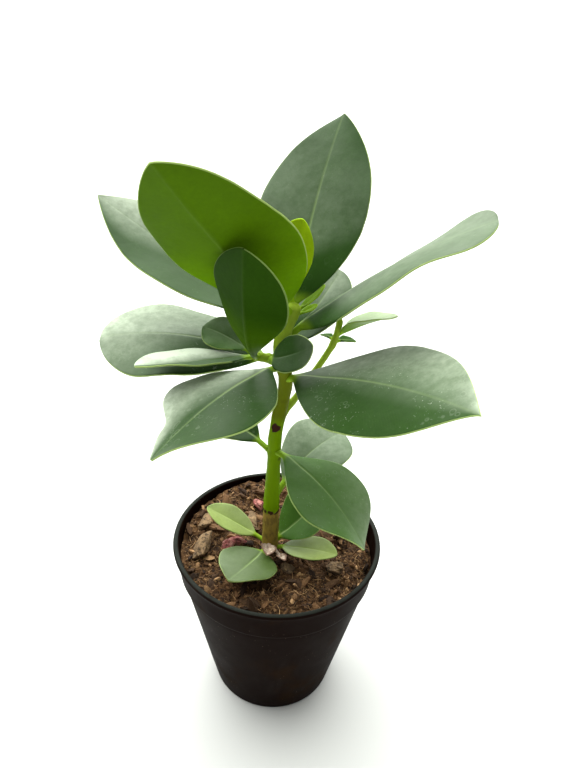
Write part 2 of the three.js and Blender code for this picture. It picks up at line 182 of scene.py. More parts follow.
def skin(rings):
    """A closed skin over equal closed rings: quads between them, and a fan to a middle point at each end."""
    rows, columns = rings.shape[:2]
    first = np.arange(columns)
    last = first + (rows - 1) * columns
    caps = np.vstack([
        np.stack([np.roll(first, -1), first, np.full(columns, rows * columns)], -1),
        np.stack([last, np.roll(last, -1), np.full(columns, rows * columns + 1)], -1),
    ])
    points = np.vstack([rings.reshape(-1, 3), rings[0].mean(0), rings[-1].mean(0)])
    return points, [grid_faces(rows, columns), caps]


def repeated(faces, count, size):
    """The faces of several like meshes, one after another, each with the same number of points."""
    first = (np.arange(count) * size)[:, None, None]
    return [(corners[None] + first).reshape(-1, corners.shape[1]) for corners in faces]


def unit(vectors):
    return vectors / np.linalg.norm(vectors, axis=-1, keepdims=True)


def smoothstep(low, high, values):
    share = np.clip((values - low) / (high - low), 0, 1)
    return share * share * (3 - 2 * share)


def rough(x, y, cell, seed):
    """Smooth random heights from -1 to 1: random numbers on a square lattice, blended by smooth steps."""
    table = np.random.default_rng(seed).uniform(-1, 1, (61, 67))
    column, row = np.floor(x / cell).astype(int), np.floor(y / cell).astype(int)
    across, up = smoothstep(0, 1, x / cell - column), smoothstep(0, 1, y / cell - row)
    pick = lambda i, j: table[(column + i) % 61, (row + j) % 67]
    near = pick(0, 0) * (1 - across) + pick(1, 0) * across
    far = pick(0, 1) * (1 - across) + pick(1, 1) * across
    return near * (1 - up) + far * up


def node_box(node):
    """A CAD node's lowest and highest corners, in millimetres."""
    low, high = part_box(node)
    return np.array(low) / MM, np.array(high) / MM


# How many cuts a stem's centreline is measured on
STEM_CUTS = 70


def centreline(node, direction, trims):
    """Middle points and radii of a stem, on cuts square to a direction. Each cut crosses the edges of the
    node's triangles, and its middle is the mean of the crossings. The first and last cuts lie in from the
    ends by the lengths given, and the line goes straight on from them to the ends."""
    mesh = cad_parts[node].data
    mesh.calc_loop_triangles()
    corners = np.zeros(len(mesh.loop_triangles) * 3, np.int32)
    mesh.loop_triangles.foreach_get("vertices", corners)
    spots = np.zeros(len(mesh.vertices) * 3, np.float32)
    mesh.vertices.foreach_get("co", spots)
    starts = spots.reshape(-1, 3)[corners].reshape(-1, 3, 3) / MM
    ends = np.roll(starts, -1, axis=1)
    way = unit(np.array(direction, float))
    low, high = starts @ way, ends @ way
    line, radii = [], []
    for level in np.linspace(low.min() + trims[0], low.max() - trims[1], STEM_CUTS):
        crossing = (low < level) & (high >= level)
        share = ((level - low[crossing]) / (high[crossing] - low[crossing]))[:, None]
        ring = starts[crossing] * (1 - share) + ends[crossing] * share
        line.append(ring.mean(0))
        radii.append(np.linalg.norm(ring - line[-1], axis=1).mean())
    first = line[0] + (line[0] - line[4]) * (trims[0] / np.dot(line[4] - line[0], way))
    last = line[-1] + (line[-1] - line[-5]) * (trims[1] / np.dot(line[-1] - line[-5], way))
    return np.array([first, *line, last]), np.array([radii[0], *radii, radii[-1]])


def tube(line, radii, columns):
    """Rings square to a line: each point is the line's point plus the radius there times the cosine of its
    angle across and the sine behind. Radii may differ round the ring."""
    along = unit(np.gradient(line, axis=0))
    across = unit(np.array([1.0, 0, 0]) - along * along[:, :1])
    behind = np.cross(along, across)
    angle = np.linspace(0, 2 * np.pi, columns, endpoint=False)
    cosine, sine = np.cos(angle)[None, :, None], np.sin(angle)[None, :, None]
    round_way = cosine * across[:, None] + sine * behind[:, None]
    return line[:, None] + np.broadcast_to(radii, (len(line), columns))[..., None] * round_way


# ---- Finishes ----


class Graph:
    """A material's nodes, made one at a time and joined as they are made."""

    def __init__(self, name, shelf=None, surface="Principled BSDF"):
        self.material = (bpy.data.materials if shelf is None else shelf).new(name)
        self.material.use_nodes = True
        self.tree = self.material.node_tree
        self.surface = self.tree.nodes[surface]

    def put(self, socket, value):
        if isinstance(value, bpy.types.NodeSocket):
            self.tree.links.new(value, socket)
        elif isinstance(value, tuple) and len(value) == 3 and socket.type == "RGBA":
            socket.default_value = (*value, 1.0)
        else:
            socket.default_value = value

    def node(self, kind, inputs, **settings):
        made = self.tree.nodes.new(kind)
        for key, value in settings.items():
            setattr(made, key, value)
        for key, value in inputs.items():
            self.put(made.inputs[key], value)
        return made

    def math(self, operation, first, second=0.0, clamp=False):
        node = self.node("ShaderNodeMath", {0: first, 1: second}, operation=operation, use_clamp=clamp)
        return node.outputs[0]

    def times(self, first, second, clamp=False):
        return self.math("MULTIPLY", first, second, clamp)

    def plus(self, first, second, clamp=False):
        return self.math("ADD", first, second, clamp)

    def height(self):
        return self.node("ShaderNodeSeparateXYZ", {"Vector": self.place()}).outputs["Z"]

    def step(self, value, low, high, start=0.0, end=1.0):
        inputs = {"Value": value, "From Min": low, "From Max": high, "To Min": start, "To Max": end}
        return self.node("ShaderNodeMapRange", inputs, interpolation_type="SMOOTHSTEP").outputs["Result"]

    def mix(self, share, first, second, blend="MIX"):
        inputs = {0: share, 6: first, 7: second}
        return self.node("ShaderNodeMix", inputs, data_type="RGBA", blend_type=blend).outputs[2]

    def grained(self, body, pattern, share, low):
        """The body, darker where the pattern is low and lighter where it is high."""
        return self.mix(share, body, self.mix(pattern, (low,) * 3, (1 - low,) * 3), "OVERLAY")

    def attribute(self, name):
        return self.node("ShaderNodeAttribute", {}, attribute_name=name).outputs["Fac"]

    def place(self, stretch=(1.0, 1.0, 1.0)):
        spot = self.node("ShaderNodeTexCoord", {}).outputs["Object"]
        return self.node("ShaderNodeMapping", {"Vector": spot, "Scale": stretch}).outputs["Vector"]

    def noise(self, scale, detail=3.0, roughness=0.5, stretch=(1.0, 1.0, 1.0), distortion=0.0):
        inputs = {
            "Vector": self.place(stretch), "Scale": scale, "Detail": detail,
            "Roughness": roughness, "Distortion": distortion,
        }
        return self.node("ShaderNodeTexNoise", inputs).outputs["Fac"]

    def cells(self, scale):
        return self.node("ShaderNodeTexVoronoi", {"Vector": self.place(), "Scale": scale}).outputs["Distance"]

    def bump(self, height, distance, strength=1.0, below=None):
        inputs = {"Height": height, "Distance": distance, "Strength": strength}
        if below is not None:
            inputs["Normal"] = below
        return self.node("ShaderNodeBump", inputs).outputs["Normal"]

    def finish(self, color, roughness, normal=None, specular=0.5):
        self.put(self.surface.inputs["Base Color"], color)
        self.put(self.surface.inputs["Roughness"], roughness)
        self.surface.inputs["Specular IOR Level"].default_value = specular
        if normal is not None:
            self.put(self.surface.inputs["Normal"], normal)
        return self.material


def leaf_finish(name, looks, upper, lower, edge, rib, dusty, veined, specular):
    """Leaf tissue. The colour goes from the lower to the upper side's, cloudy over centimetres and grainy,
    with painted sheen on top (a pale haze that stands in for the bright window's reflection), faint side
    veins, a pale midrib, stalk and edge, and then dust specks, scratches and the rings of dried drops. Near
    the base the lower side is lightened by painted light, as if lit through."""
    g = Graph(name)
    side = g.step(g.attribute("side"), 0.42, 0.58)
    # Painted light: the lower side's base mixed towards the lit-through glow colour
    body = g.mix(side, g.mix(g.attribute("glow"), lower, looks.glow[:]), upper)
    cloud = g.noise(60.0)
    body = g.mix(0.5, body, g.mix(cloud, (0.28, 0.3, 0.28), (0.72, 0.7, 0.7)), "OVERLAY")
    body = g.grained(body, g.noise(650.0, 4.0, 0.7), 0.4, 0.24)
    # Painted sheen: the pale haze of the window's reflection, broken up by noise, laid on the upper side only
    painted_sheen = g.times(g.attribute("painted_sheen"), g.step(g.noise(48.0, 4.0, 0.55), 0.2, 0.6, 0.72, 1.12))
    painted_sheen = g.times(painted_sheen, g.step(g.noise(240.0, 5.0, 0.7), 0.3, 0.7, 0.78, 1.24))
    body = g.mix(g.times(painted_sheen, side, clamp=True), body, looks.painted_sheen[:])
    phase = g.plus(g.attribute("vein"), g.times(g.noise(170.0), 1.6))
    wave = g.math("ABSOLUTE", g.math("SINE", g.times(phase, math.pi)))
    vein = g.times(g.step(wave, 0.5, 0.0), g.step(g.noise(140.0, 2.0), 0.42, 0.7))
    body = g.mix(g.times(vein, 0.02 * veined), body, rib)
    body = g.mix(g.times(g.step(g.attribute("rib"), 0.85, 0.1), g.attribute("keel")), body, rib)
    body = g.mix(g.times(g.step(g.attribute("length"), 0.08, 0.0), 0.9), body, looks.stalk[:])
    rim = g.step(g.attribute("margin"), looks.margin / MM, 0.5 * looks.margin / MM)
    body = g.mix(g.times(rim, 0.68), body, edge)
    dust = g.attribute("dusty")
    where = g.times(g.step(g.noise(60.0), 0.46, 0.66), dust)
    speck = g.times(g.step(g.cells(760.0), 0.2, 0.08), g.step(g.noise(330.0, 1.0), 0.4, 0.62))
    scratch = g.step(g.noise(420.0, 2.0, 0.6, distortion=2.5), 0.655, 0.69)
    drop = g.cells(260.0)
    ring = g.times(g.step(drop, 0.2, 0.27), g.step(drop, 0.36, 0.28))
    ring = g.times(ring, g.step(g.noise(38.0, 1.0), 0.56, 0.64))
    marks = g.plus(g.times(speck, where), g.times(g.times(ring, dust), 0.14))
    marks = g.plus(marks, g.times(g.times(scratch, where), 0.4), clamp=True)
    marks = g.times(g.times(marks, side), 0.6 * dusty)
    body = g.mix(marks, body, looks.dust[:])
    shine = g.plus(g.plus(g.times(cloud, 0.14), 0.42), g.times(marks, 0.25))
    normal = g.bump(g.noise(900.0, 2.0), 0.00005, 0.5)
    normal = g.bump(g.noise(260.0), 0.0002, 0.45, normal)
    normal = g.bump(g.noise(95.0, 2.0, stretch=(1.0, 1.0, 0.6)), 0.0008, 0.55, normal)
    return g.finish(body, shine, normal, specular)


def pot_finish(pot):
    """Thin black plastic: brown soil smudges, faint vertical rubs, specks of grit, and a painted highlight
    along the top of the rim bead.
    """
    g = Graph("nursery_pot_plastic")
    stain = g.step(g.noise(38.0, 4.0, 0.6), 0.5, 0.68)
    body = g.mix(g.times(stain, 0.42), pot.plastic[:], pot.smudge[:])
    rub = g.step(g.noise(90.0, 3.0, 0.6, stretch=(1.0, 1.0, 0.18)), 0.55, 0.8)
    body = g.mix(g.times(rub, 0.2), body, (0.03, 0.026, 0.024))
    grit = g.times(g.step(g.cells(420.0), 0.13, 0.05), g.step(g.noise(55.0, 2.0), 0.52, 0.62))
    body = g.mix(g.times(grit, 0.5), body, (0.16, 0.12, 0.09))
    top = node_box("pot")[1][2] * MM
    # Painted highlight: a thin light band round the top of the rim bead, broken up by noise
    bead = g.step(g.height(), top - 0.0006, top - 0.0002)
    bead = g.times(bead, g.step(g.noise(120.0), 0.2, 0.5, 0.55, 1.0))
    body = g.mix(bead, body, pot.lip_highlight[:])
    shine = g.plus(g.plus(g.times(g.noise(70.0, 4.0, 0.6), 0.25), 0.42), g.times(stain, 0.12))
    normal = g.bump(g.noise(1100.0, 2.0), 0.00006, 0.5)
    normal = g.bump(g.noise(22.0, 2.0), 0.0009, 0.35, normal)
    return g.finish(body, shine, normal, specular=0.02)


def soil_finish(soil):
    """Dark loose peat: three browns by two scales of noise, with painted shade that makes it nearly black in
    the low spots of the fine bumps.
    """
    g = Graph("peat_and_bark")
    coarse = g.noise(320.0, 5.0, 0.65)
    body = g.mix(g.step(coarse, 0.35, 0.62), soil.dark[:], soil.middle[:])
    body = g.mix(g.step(g.noise(900.0, 4.0, 0.7), 0.56, 0.72), body, soil.pale[:])
    hollow_shade = g.step(g.attribute("hollow_shade"), 0.0, 1.0)
    # Painted shade: the low spots of the fine bumps darkened nearly to black
    body = g.mix(g.times(hollow_shade, 0.8), body, (0.006, 0.004, 0.003))
    normal = g.bump(coarse, 0.0009)
    normal = g.bump(g.noise(2200.0, 3.0), 0.0002, 1.0, normal)
    return g.finish(body, 0.92, normal, specular=0.2)


def scrap_finish(soil):
    """Chips, crumbs and fibres: each scrap's own tone, from dark through middle to pale, with fine grain."""
    g = Graph("bark_scraps")
    tone = g.attribute("tone")
    body = g.mix(g.step(tone, 0.0, 0.55), soil.dark[:], soil.middle[:])
    body = g.mix(g.step(tone, 0.55, 1.0), body, soil.pale[:])
    fine = g.noise(1200.0, 3.0, 0.65, stretch=(1.0, 1.0, 1.6))
    return g.finish(g.grained(body, fine, 0.75, 0.1), 0.88, g.bump(fine, 0.0003), specular=0.25)


def stem_finish(name, stem, young):
    """Stem skin: green with fine lengthwise streaks, with an olive stretch below the crown of the main stem,
    brown with dark flecks below the bark line, and dark at each scar."""
    g = Graph(name)
    height = g.height()
    streak = g.noise(500.0, 3.0, 0.6, stretch=(1.0, 1.0, 0.12))
    lift = 1.0 if young else g.step(height, 0.172, 0.2)
    green = g.grained(g.mix(lift, stem.green[:], stem.young[:]), streak, 0.35, 0.3)
    if not young:
        olive = g.times(g.step(height, 0.158, 0.166), g.step(height, 0.196, 0.184))
        green = g.mix(g.times(olive, 0.75), green, stem.olive[:])
    fleck = g.step(g.noise(420.0, 4.0, 0.65, stretch=(1.0, 1.0, 0.5)), 0.45, 0.62)
    brown = g.mix(g.times(fleck, 0.45), stem.bark[:], (0.06, 0.04, 0.016))
    line = g.plus(height, g.times(g.math("SUBTRACT", g.noise(160.0, 2.0), 0.5), 0.006))
    body = g.mix(g.step(line, stem.bark_height - 0.0012, stem.bark_height + 0.0008), brown, green)
    scar = g.attribute("scar")
    body = g.mix(g.step(scar, 0.12, 0.5), body, srgb(54, 30, 22))
    shine = g.plus(g.plus(g.times(streak, 0.2), 0.36), g.times(scar, 0.3), clamp=True)
    normal = g.bump(fleck, 0.0001, 0.5, g.bump(streak, 0.00025, 0.7))
    return g.finish(body, shine, normal, specular=0.04)


def husk_finish():
    """Dry scale: tan paper with fine fibres, brown at its edges and browner below."""
    g = Graph("dry_husk")
    fibre = g.noise(700.0, 3.0, 0.6, stretch=(1.0, 1.0, 0.3))
    paper = g.mix(g.step(fibre, 0.35, 0.7), srgb(178, 150, 134), srgb(222, 204, 190))
    brown = g.mix(fibre, srgb(84, 50, 38), srgb(132, 90, 70))
    rim = g.step(g.attribute("margin"), 1.7, 0.4)
    side = g.step(g.attribute("side"), 0.42, 0.58)
    body = g.mix(g.times(rim, 0.8), paper, brown)
    body = g.mix(side, g.mix(0.4, brown, paper), body)
    return g.finish(body, 0.8, g.bump(fibre, 0.00004), specular=0.1)


def lump_finish(name, dark, body_color, pale):
    """A nugget: blotches of two colours, dark pits, fine grit, and darker towards its foot."""
    g = Graph(name)
    blotch = g.noise(260.0, 4.0, 0.6)
    body = g.mix(g.step(blotch, 0.38, 0.62), body_color, pale)
    pit = g.step(g.noise(700.0, 3.0, 0.6), 0.5, 0.36)
    body = g.mix(g.times(pit, 0.8), body, dark)
    # Darker towards the foot, where the nugget meets the soil
    darker_foot = g.step(g.height(), 0.0885, 0.083)
    body = g.mix(g.times(darker_foot, 0.55), body, dark)
    normal = g.bump(g.noise(1800.0), 0.0002, 1.0, g.bump(blotch, 0.0006))
    return g.finish(body, 0.86, normal, specular=0.3)


def floor_finish(color):
    """Pale seamless floor with a faint cloudiness."""
    g = Graph("pale_floor")
    return g.finish(g.mix(g.noise(3.0, 2.0), tuple(0.97 * part for part in color), color), 0.7)


# ---- Leaves ----

# A leaf's shape. Its node is its height on the main stem, or its distance back from its shoot's end. The rest
# is what leaf_directions and leaf_surface take. Lengths are in millimetres and angles in degrees.
LEAF_SHAPE = (
    "node", "heading", "sweep", "rise", "tip_rise", "roll", "twist", "wave",
    "stalk", "blade", "width", "base", "point", "fold", "tip_fold",
)
CROWN = {
    "leaf_crown_left": (214, 239, -3, 37, 47, -31, 0, 7, 7.5, 92, 49, 0.75, 0.8, 12, 10),
    "leaf_crown_back": (214, 67, -2, 73, 45, -6, 15, -4, 3.5, 83, 46.5, 0.85, 0.9, 12, 0),
    "leaf_heart": (217.5, 150, 0, 77, 114, 37, 33, 0, 3, 33, 17.5, 0.85, 0.6, 25, 21),
    "leaf_heart_right": (214, 27, 0, 26, 49, 0, 12, 0, 2.5, 14.5, 6.5, 0.85, 0.6, 12, 5),
    "leaf_heart_bud": (212.2, 33, 0, 4, 24, -7, 0, 0, 3.5, 9, 4, 0.85, 0.6, 12, 5),
    "leaf_long_right": (202.5, 11, -30, 43, 26, -13, 0, 23, 7.5, 89, 47.5, 0.75, 0.45, -19, 3),
    "leaf_far_left": (207, 161, 0, 27, 29, 11, 17, 0, 8, 88.5, 43.5, 0.9, 1, 15, 5),
}
MIDDLE = {
    "leaf_back_right": (197.5, 52, 0, 23, 40, -10, 0, 0, 2.5, 45.5, 28, 0.75, 0.6, 12, 9),
    "leaf_mid_left": (188.5, 170, 11, 22.5, -13, 21, 3, -10, 8.5, 73, 50, 0.8, 0.52, -9, -6),
    "leaf_front_left": (188.5, 245, -22, 23, -35, -6, -27, 16, 9.5, 69.5, 48.5, 1.25, 0.9, -7, 1),
    "leaf_front_right": (184.5, -40, -22, 23, 10, -8, -24, -3, 2.5, 97, 53, 1.05, 1.15, -5, -5),
}
LOW = {
    "leaf_low_right": (144.5, -40, -9, 1, -45, 8, 29, -22, 4.5, 57.5, 40.5, 1.15, 0.85, -5, 9),
    "leaf_low_left": (143, 158, 0, 39, -2, 13, 5, 0, 8, 39, 27.5, 0.85, 0.6, 12, 5),
    "leaf_low_back": (115, 39, 0, 58, -3, -7, -6, 0, 9.5, 42, 35.5, 0.9, 0.55, 12, 5),
    "leaf_base_back": (87, 16, 2, 43, 40, -10, -7, 0, 4.5, 32.5, 29.5, 0.85, 0.6, 16, 12),
    "leaf_base_left": (87, 169, 0, 33, 21, 10, 0, 0, 7, 28.5, 15.5, 0.8, 0.7, 12, 13),
    "leaf_base_front": (86, 242, -4, 9, 13, 9, -9, -4, 5.5, 30, 30, 0.65, 0.75, 3, 11),
    "leaf_base_right": (85, -23, 0, 25, 4, -6, 0, 0, 5.5, 30, 16, 0.75, 0.65, 9, 10),
}
SHOOT = {
    "shoot_leaf_front": (1.6, 262, 12, 28, 78, 3, 34, 3, 5, 71, 31.5, 1.55, 0.7, 32, 11),
    "shoot_leaf_round": (6.4, -33, 6, 21, 38, -42, -21, 0, 2, 22, 16.5, 0.55, 0.6, 12, 1),
    "shoot_leaf_left": (0.1, 203, 0, 3, 4, 0, -12, 0, 2, 46.5, 21.5, 0.85, 0.55, 11, 14),
    "shoot_leaf_back": (1.9, 157, 0, 34, 3, 18, 12, 0, 4.5, 22.5, 17.5, 0.9, 0.65, 12, 1),
}
TWIG = {
    "twig_leaf_folded": (7.1, -12, 0, 36, 15, 11, -8, 0, 2, 26.5, 16, 0.6, 0.75, 39, 5),
    "twig_leaf_right": (10.6, 30, 0, 2, -18, -2, 0, 0, 1.5, 9.5, 7.5, 0.85, 0.6, 15, 7),
    "twig_leaf_left": (10.6, 128, 0, 13, -12, -7, 0, 0, 1.5, 6, 6.5, 0.85, 0.6, 14, 7),
}
HUSKS = {
    "husk_left": (89.5, 266, 0, -5, 15, 10, 0, 0, 2.5, 8.5, 9, 0.7, 1.3, 35, 15),
    "husk_front": (85, 297, 0, 3, 25, 12, 0, 0, 7, 7.5, 6, 0.7, 1.3, 35, 15),
}

# A leaf's looks where they aren't these: its finish, how much painted sheen (a pale haze standing in for the
# window's reflection) lies on it evenly, more by length and more to its left, where the painted sheen starts
# by length and its lean to the left, and the strength of midrib, dust and glow (painted light through the
# base).
# A notch in the edge has its place by length, depth, spread and side.
PLAIN_LOOKS = {
    "finish": "mature_blade", "painted_sheen": (0, 0, 0), "clear": (0, 0), "midrib": 0.6, "dust": 0.4, "glow": 0,
}
LEAF_LOOKS = {
    "leaf_crown_left": {"finish": "crown_blade", "midrib": 0.14, "glow": 1},
    "leaf_crown_back": {"painted_sheen": (0.13, -0.25, 0.05), "clear": (0.27, 0.14), "midrib": 0.55, "dust": 0.15},
    "leaf_heart": {"finish": "heart_lit"},
    "leaf_heart_right": {"finish": "heart_blade"},
    "leaf_heart_bud": {"finish": "heart_blade"},
    "leaf_long_right": {"painted_sheen": (0.17, -0.02, 0.1), "clear": (0.26, 0), "midrib": 0.4, "dust": 0.2},
    "leaf_far_left": {"painted_sheen": (0.09, 1, -0.5), "clear": (0.3, 0), "midrib": 0.25, "dust": 0.15},
    "leaf_back_right": {"painted_sheen": (0.13, 0.95, 0.35)},
    "leaf_mid_left": {"painted_sheen": (0.14, 0.9, -0.28), "clear": (0.22, 0), "midrib": 0.35, "dust": 0.5},
    "leaf_front_left": {
        "painted_sheen": (-0.03, -0.65, -1.1), "midrib": 0.75, "dust": 0.9, "notch": (0.78, 0.3, 0.08, -1),
    },
    "leaf_front_right": {"painted_sheen": (0.12, 0.08, 0.38), "clear": (0.16, 0), "midrib": 0.45, "dust": 0.75},
    "leaf_low_right": {"finish": "fresh_blade", "painted_sheen": (0, 0.35, 0.12), "midrib": 0.38, "dust": 0.7},
    "leaf_low_back": {"painted_sheen": (0.22, 0.12, 0.1), "midrib": 0.3, "dust": 0.1},
    "leaf_base_back": {"finish": "fresh_blade"},
    "leaf_base_left": {"finish": "young_blade", "painted_sheen": (0.05, 0, -0.1)},
    "leaf_base_front": {"finish": "base_blade", "painted_sheen": (0.06, 0.15, -0.06)},
    "leaf_base_right": {"finish": "young_blade", "painted_sheen": (0.2, -0.5, 0.1)},
    "shoot_leaf_front": {"finish": "shaded_blade", "midrib": 0.12, "glow": 0.4},
    "shoot_leaf_round": {"painted_sheen": (-0.01, 0.4, 0), "midrib": 0.08, "dust": 0.1},
    "shoot_leaf_left": {"painted_sheen": (0.12, 0.7, -1.2), "midrib": 0.15, "dust": 0.3},
    "shoot_leaf_back": {"finish": "fresh_blade", "painted_sheen": (0.13, 0, -0.1), "midrib": 0.2, "dust": 0.1},
    "twig_leaf_folded": {"finish": "twig_blade"},
    "twig_leaf_right": {"finish": "shaded_blade"},
    "twig_leaf_left": {"finish": "shaded_blade"},
}

# The way that each stem is cut across, and how far in from its ends the cuts start
STEMS = {
    "main_stem": ((0, 0, 1), (1.0, 2.4)),
    "left_shoot": ((-0.84, -0.42, 0.36), (2.2, 0.6)),
    "right_twig": ((0.5, 0.38, 0.82), (2.0, 1.4)),
}


def leaf_of(shape):
    """A row of the tables above, by name."""
    return dict(zip(LEAF_SHAPE, shape))


def leaf_start(leaf, stem):
    """Where a stalk starts: half a radius off the stem's middle, towards the leaf's heading."""
    line, radii = centreline(stem, *STEMS[stem])
    if stem == "main_stem":
        reach, level = line[:, 2], leaf["node"]
    else:
        reach = -np.concatenate([[0], np.cumsum(np.linalg.norm(np.diff(line, axis=0), axis=1))])
        reach, level = reach - reach[-1], leaf["node"]
        reach, line, radii = reach[::-1], line[::-1], radii[::-1]
    middle = np.array([np.interp(level, reach, line[:, k]) for k in range(3)])
    off = np.interp(level, reach, radii) / 2
    heading = math.radians(leaf["heading"])
    return middle + off * np.array([math.cos(heading), math.sin(heading), 0])


def leaf_directions(leaf, shares):
    """Directions along, left of and above a leaf at shares of its length. Its heading turns by sweep and its
    rise goes to the tip's. It leans by roll, twist times the share, and wave times the sine of a half turn."""
    heading = np.radians(leaf["heading"] + leaf["sweep"] * shares)
    rise = np.radians(leaf["rise"] + (leaf["tip_rise"] - leaf["rise"]) * shares)
    lean = np.radians(leaf["roll"] + leaf["twist"] * shares + leaf["wave"] * np.sin(np.pi * shares))[:, None]
    along = np.stack([np.cos(rise) * np.cos(heading), np.cos(rise) * np.sin(heading), np.sin(rise)], -1)
    level = np.stack([-np.sin(heading), np.cos(heading), np.zeros_like(heading)], -1)
    raised = np.cross(along, level)
    left = level * np.cos(lean) - raised * np.sin(lean)
    above = raised * np.cos(lean) + level * np.sin(lean)
    return along, left, above


def leaf_line(leaf, start, shares):
    """Points of the midrib at shares of its length: the start plus the sum of short steps along the leaf."""
    fine = np.linspace(0, 1, 401)
    length = leaf["stalk"] + leaf["blade"]
    steps = leaf_directions(leaf, (fine[1:] + fine[:-1]) / 2)[0] * length / 400
    line = start + np.vstack([np.zeros(3), np.cumsum(steps, axis=0)])
    return np.stack([np.interp(shares, fine, line[:, k]) for k in range(3)], -1)


def leaf_surface(leaf, start, thickness, rows, halves, ragged, seed):
    """Rings round a leaf, and what its finish needs at each point. Across the leaf, v runs from 1 at the left
    edge to -1 at the right and back below. Half the width is W/2 times the blade share over its widest place
    to the power base, times the rest to the power point, and no less than the stalk's. Each half rises from
    the midrib by the fold angle. The thickness is even, round at the edges, with a groove over the midrib and
    a keel below it that fades to the tip."""
    share = np.arange(halves + 1) / halves
    share = share * share * (3 - 2 * share)
    top = np.concatenate([share[::-1], -share[1:]])
    v = np.concatenate([top, -top[1:-1]])[None]
    upper = np.concatenate([[0], np.ones(len(top) - 2), [0], -np.ones(len(top) - 2)])[None]
    length = leaf["stalk"] + leaf["blade"]
    stalk_share = leaf["stalk"] / length
    blade = 0.998 * (1 - np.cos(np.pi * np.linspace(0, 1, rows))) / 2
    stalk_rows = max(4, rows // 10)
    shares = np.concatenate([
        stalk_share * np.linspace(0, 1, stalk_rows, endpoint=False),
        stalk_share + blade * (1 - stalk_share),
    ])
    b = np.concatenate([np.zeros(stalk_rows), blade])[:, None]
    widest = leaf["base"] / (leaf["base"] + leaf["point"])
    outline = leaf["width"] / 2 * (b / widest) ** leaf["base"] * ((1 - b) / (1 - widest)) ** leaf["point"]
    stalk_half = 0.8 + 0.0225 * leaf["width"]
    clasp = 1 + 0.3 * np.exp(-shares[:, None] * length / 1.5)
    half = np.hypot(outline, stalk_half * clasp * (1 - b))
    if "notch" in leaf:
        at, deep, span, edge_side = leaf["notch"]
        cut = deep * np.exp(-(((b - at) / span) ** 2))
        half = half * (1 - cut * smoothstep(0, 1, edge_side * v))
    half = half * (1 + ragged * rough(b * 40 + 0 * v, 3 * np.sign(v) + 0 * b, 1.7, seed))
    out = np.abs(v)
    from_rib = out * half
    from_edge = (1 - out) * half
    bend = np.radians(leaf["fold"] + (leaf["tip_fold"] - leaf["fold"]) * b)
    soft = np.sqrt(from_rib**2 + 0.36) - 0.6
    thick = min(thickness, 0.55 + 0.02 * leaf["width"]) / 2 * (1 - 0.25 * b)
    rim = np.sqrt(np.clip(1 - (1 - np.clip(from_edge / (1.4 * thick), 0, 1)) ** 2, 0, 1))
    wide = 0.55 * stalk_half * (1 - 0.55 * b)
    keel = 0.62 * stalk_half * (1 - b) ** 1.2 * np.exp(-((from_rib / wide) ** 2)) * rim
    groove = 0.3 * np.exp(-((from_rib / (0.6 * wide)) ** 2)) * smoothstep(0.02, 0.2, b) * (1 - b)
    blade_lift = np.where(upper > 0, thick * rim - groove, np.where(upper < 0, -thick * rim - keel, 0))
    stalk_lift = upper * 0.7 * stalk_half * clasp * np.sqrt(np.clip(1 - out**2, 0, 1))
    blend = smoothstep(0, 0.22, b)
    flutter = 0.014 * leaf["width"] * out**2 * np.sin(2 * np.pi * (2.3 * b + 0.17 * seed) + np.sign(v))
    lift = soft * np.sin(bend) + stalk_lift * (1 - blend) + blade_lift * blend
    lift = lift + flutter * smoothstep(0.1, 0.5, b)
    _, left, above = leaf_directions(leaf, shares)
    line = leaf_line(leaf, start, shares)
    spread = (v * half * np.cos(bend))[..., None]
    rings = line[:, None] + spread * left[:, None] + lift[..., None] * above[:, None]
    run = b * leaf["blade"]
    facts = {
        "side": (upper + 1) / 2 + 0 * b,
        "rib": from_rib,
        "margin": from_edge + 3 * (1 - blend),
        "length": b + 0 * v - 0.05 * (b <= 0),
        "across": v + 0 * b,
        "vein_run": run - 1.15 * from_rib,
    }
    return rings, facts


def settle(points, node):
    """Shifts a leaf along each axis until one side of its box meets its CAD node's: the nearer side, because
    the stem cuts into the node on the other."""
    low, high = node_box(node)
    below, over = low - points.min(0), high - points.max(0)
    shift = np.where(np.abs(over) < np.abs(below), over, below)
    if np.abs(shift).max() > 2:
        raise ValueError(f"{node} lies {shift} mm from its solid")
    return points + shift


def grow_leaf(name, shape, stem, finishes, number):
    """One leaf on its stem, as a closed skin over its rings."""
    looks = bpy.context.scene.clusia_leaf
    leaf = {**leaf_of(shape), **PLAIN_LOOKS, **LEAF_LOOKS.get(name, {})}
    start = leaf_start(leaf, stem)
    size = leaf["blade"] + leaf["width"]
    rows, halves = (84, 22) if size > 60 else (56, 14) if size > 30 else (36, 9)
    rings, facts = leaf_surface(leaf, start, looks.thickness / MM, rows, halves, 0.004, number)
    points, faces = skin(rings)
    points = settle(points, name)
    ends = lambda key: np.concatenate([facts[key].ravel(), [facts[key][0].mean(), facts[key][-1].mean()]])
    attributes = {key: ends(key) for key in ("side", "rib", "margin", "length")}
    attributes["vein"] = ends("vein_run") / (looks.vein_gap / MM)
    # Painted sheen: how much window reflection is painted at each point, and none below where it starts
    even, along, across = leaf["painted_sheen"]
    painted_sheen = np.clip(even + along * (ends("length") - 0.5) + across * ends("across"), 0, 1)
    clear, lean = leaf["clear"]
    starts = ends("length") + lean * ends("across")
    attributes["painted_sheen"] = painted_sheen * smoothstep(clear - 0.1, clear + 0.06, starts)
    attributes["keel"] = leaf["midrib"] * (1 - 0.8 * smoothstep(0.1, 0.85, attributes["length"]))
    attributes["dusty"] = np.full(len(points), leaf["dust"])
    # Painted light: how strongly the base of the lower side is lightened as if lit through
    attributes["glow"] = leaf["glow"] * smoothstep(0.66, 0.12, attributes["length"])
    piece = new_piece(name + "_blade", points, faces, finishes[leaf["finish"]], attributes)
    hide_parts(name)
    return piece


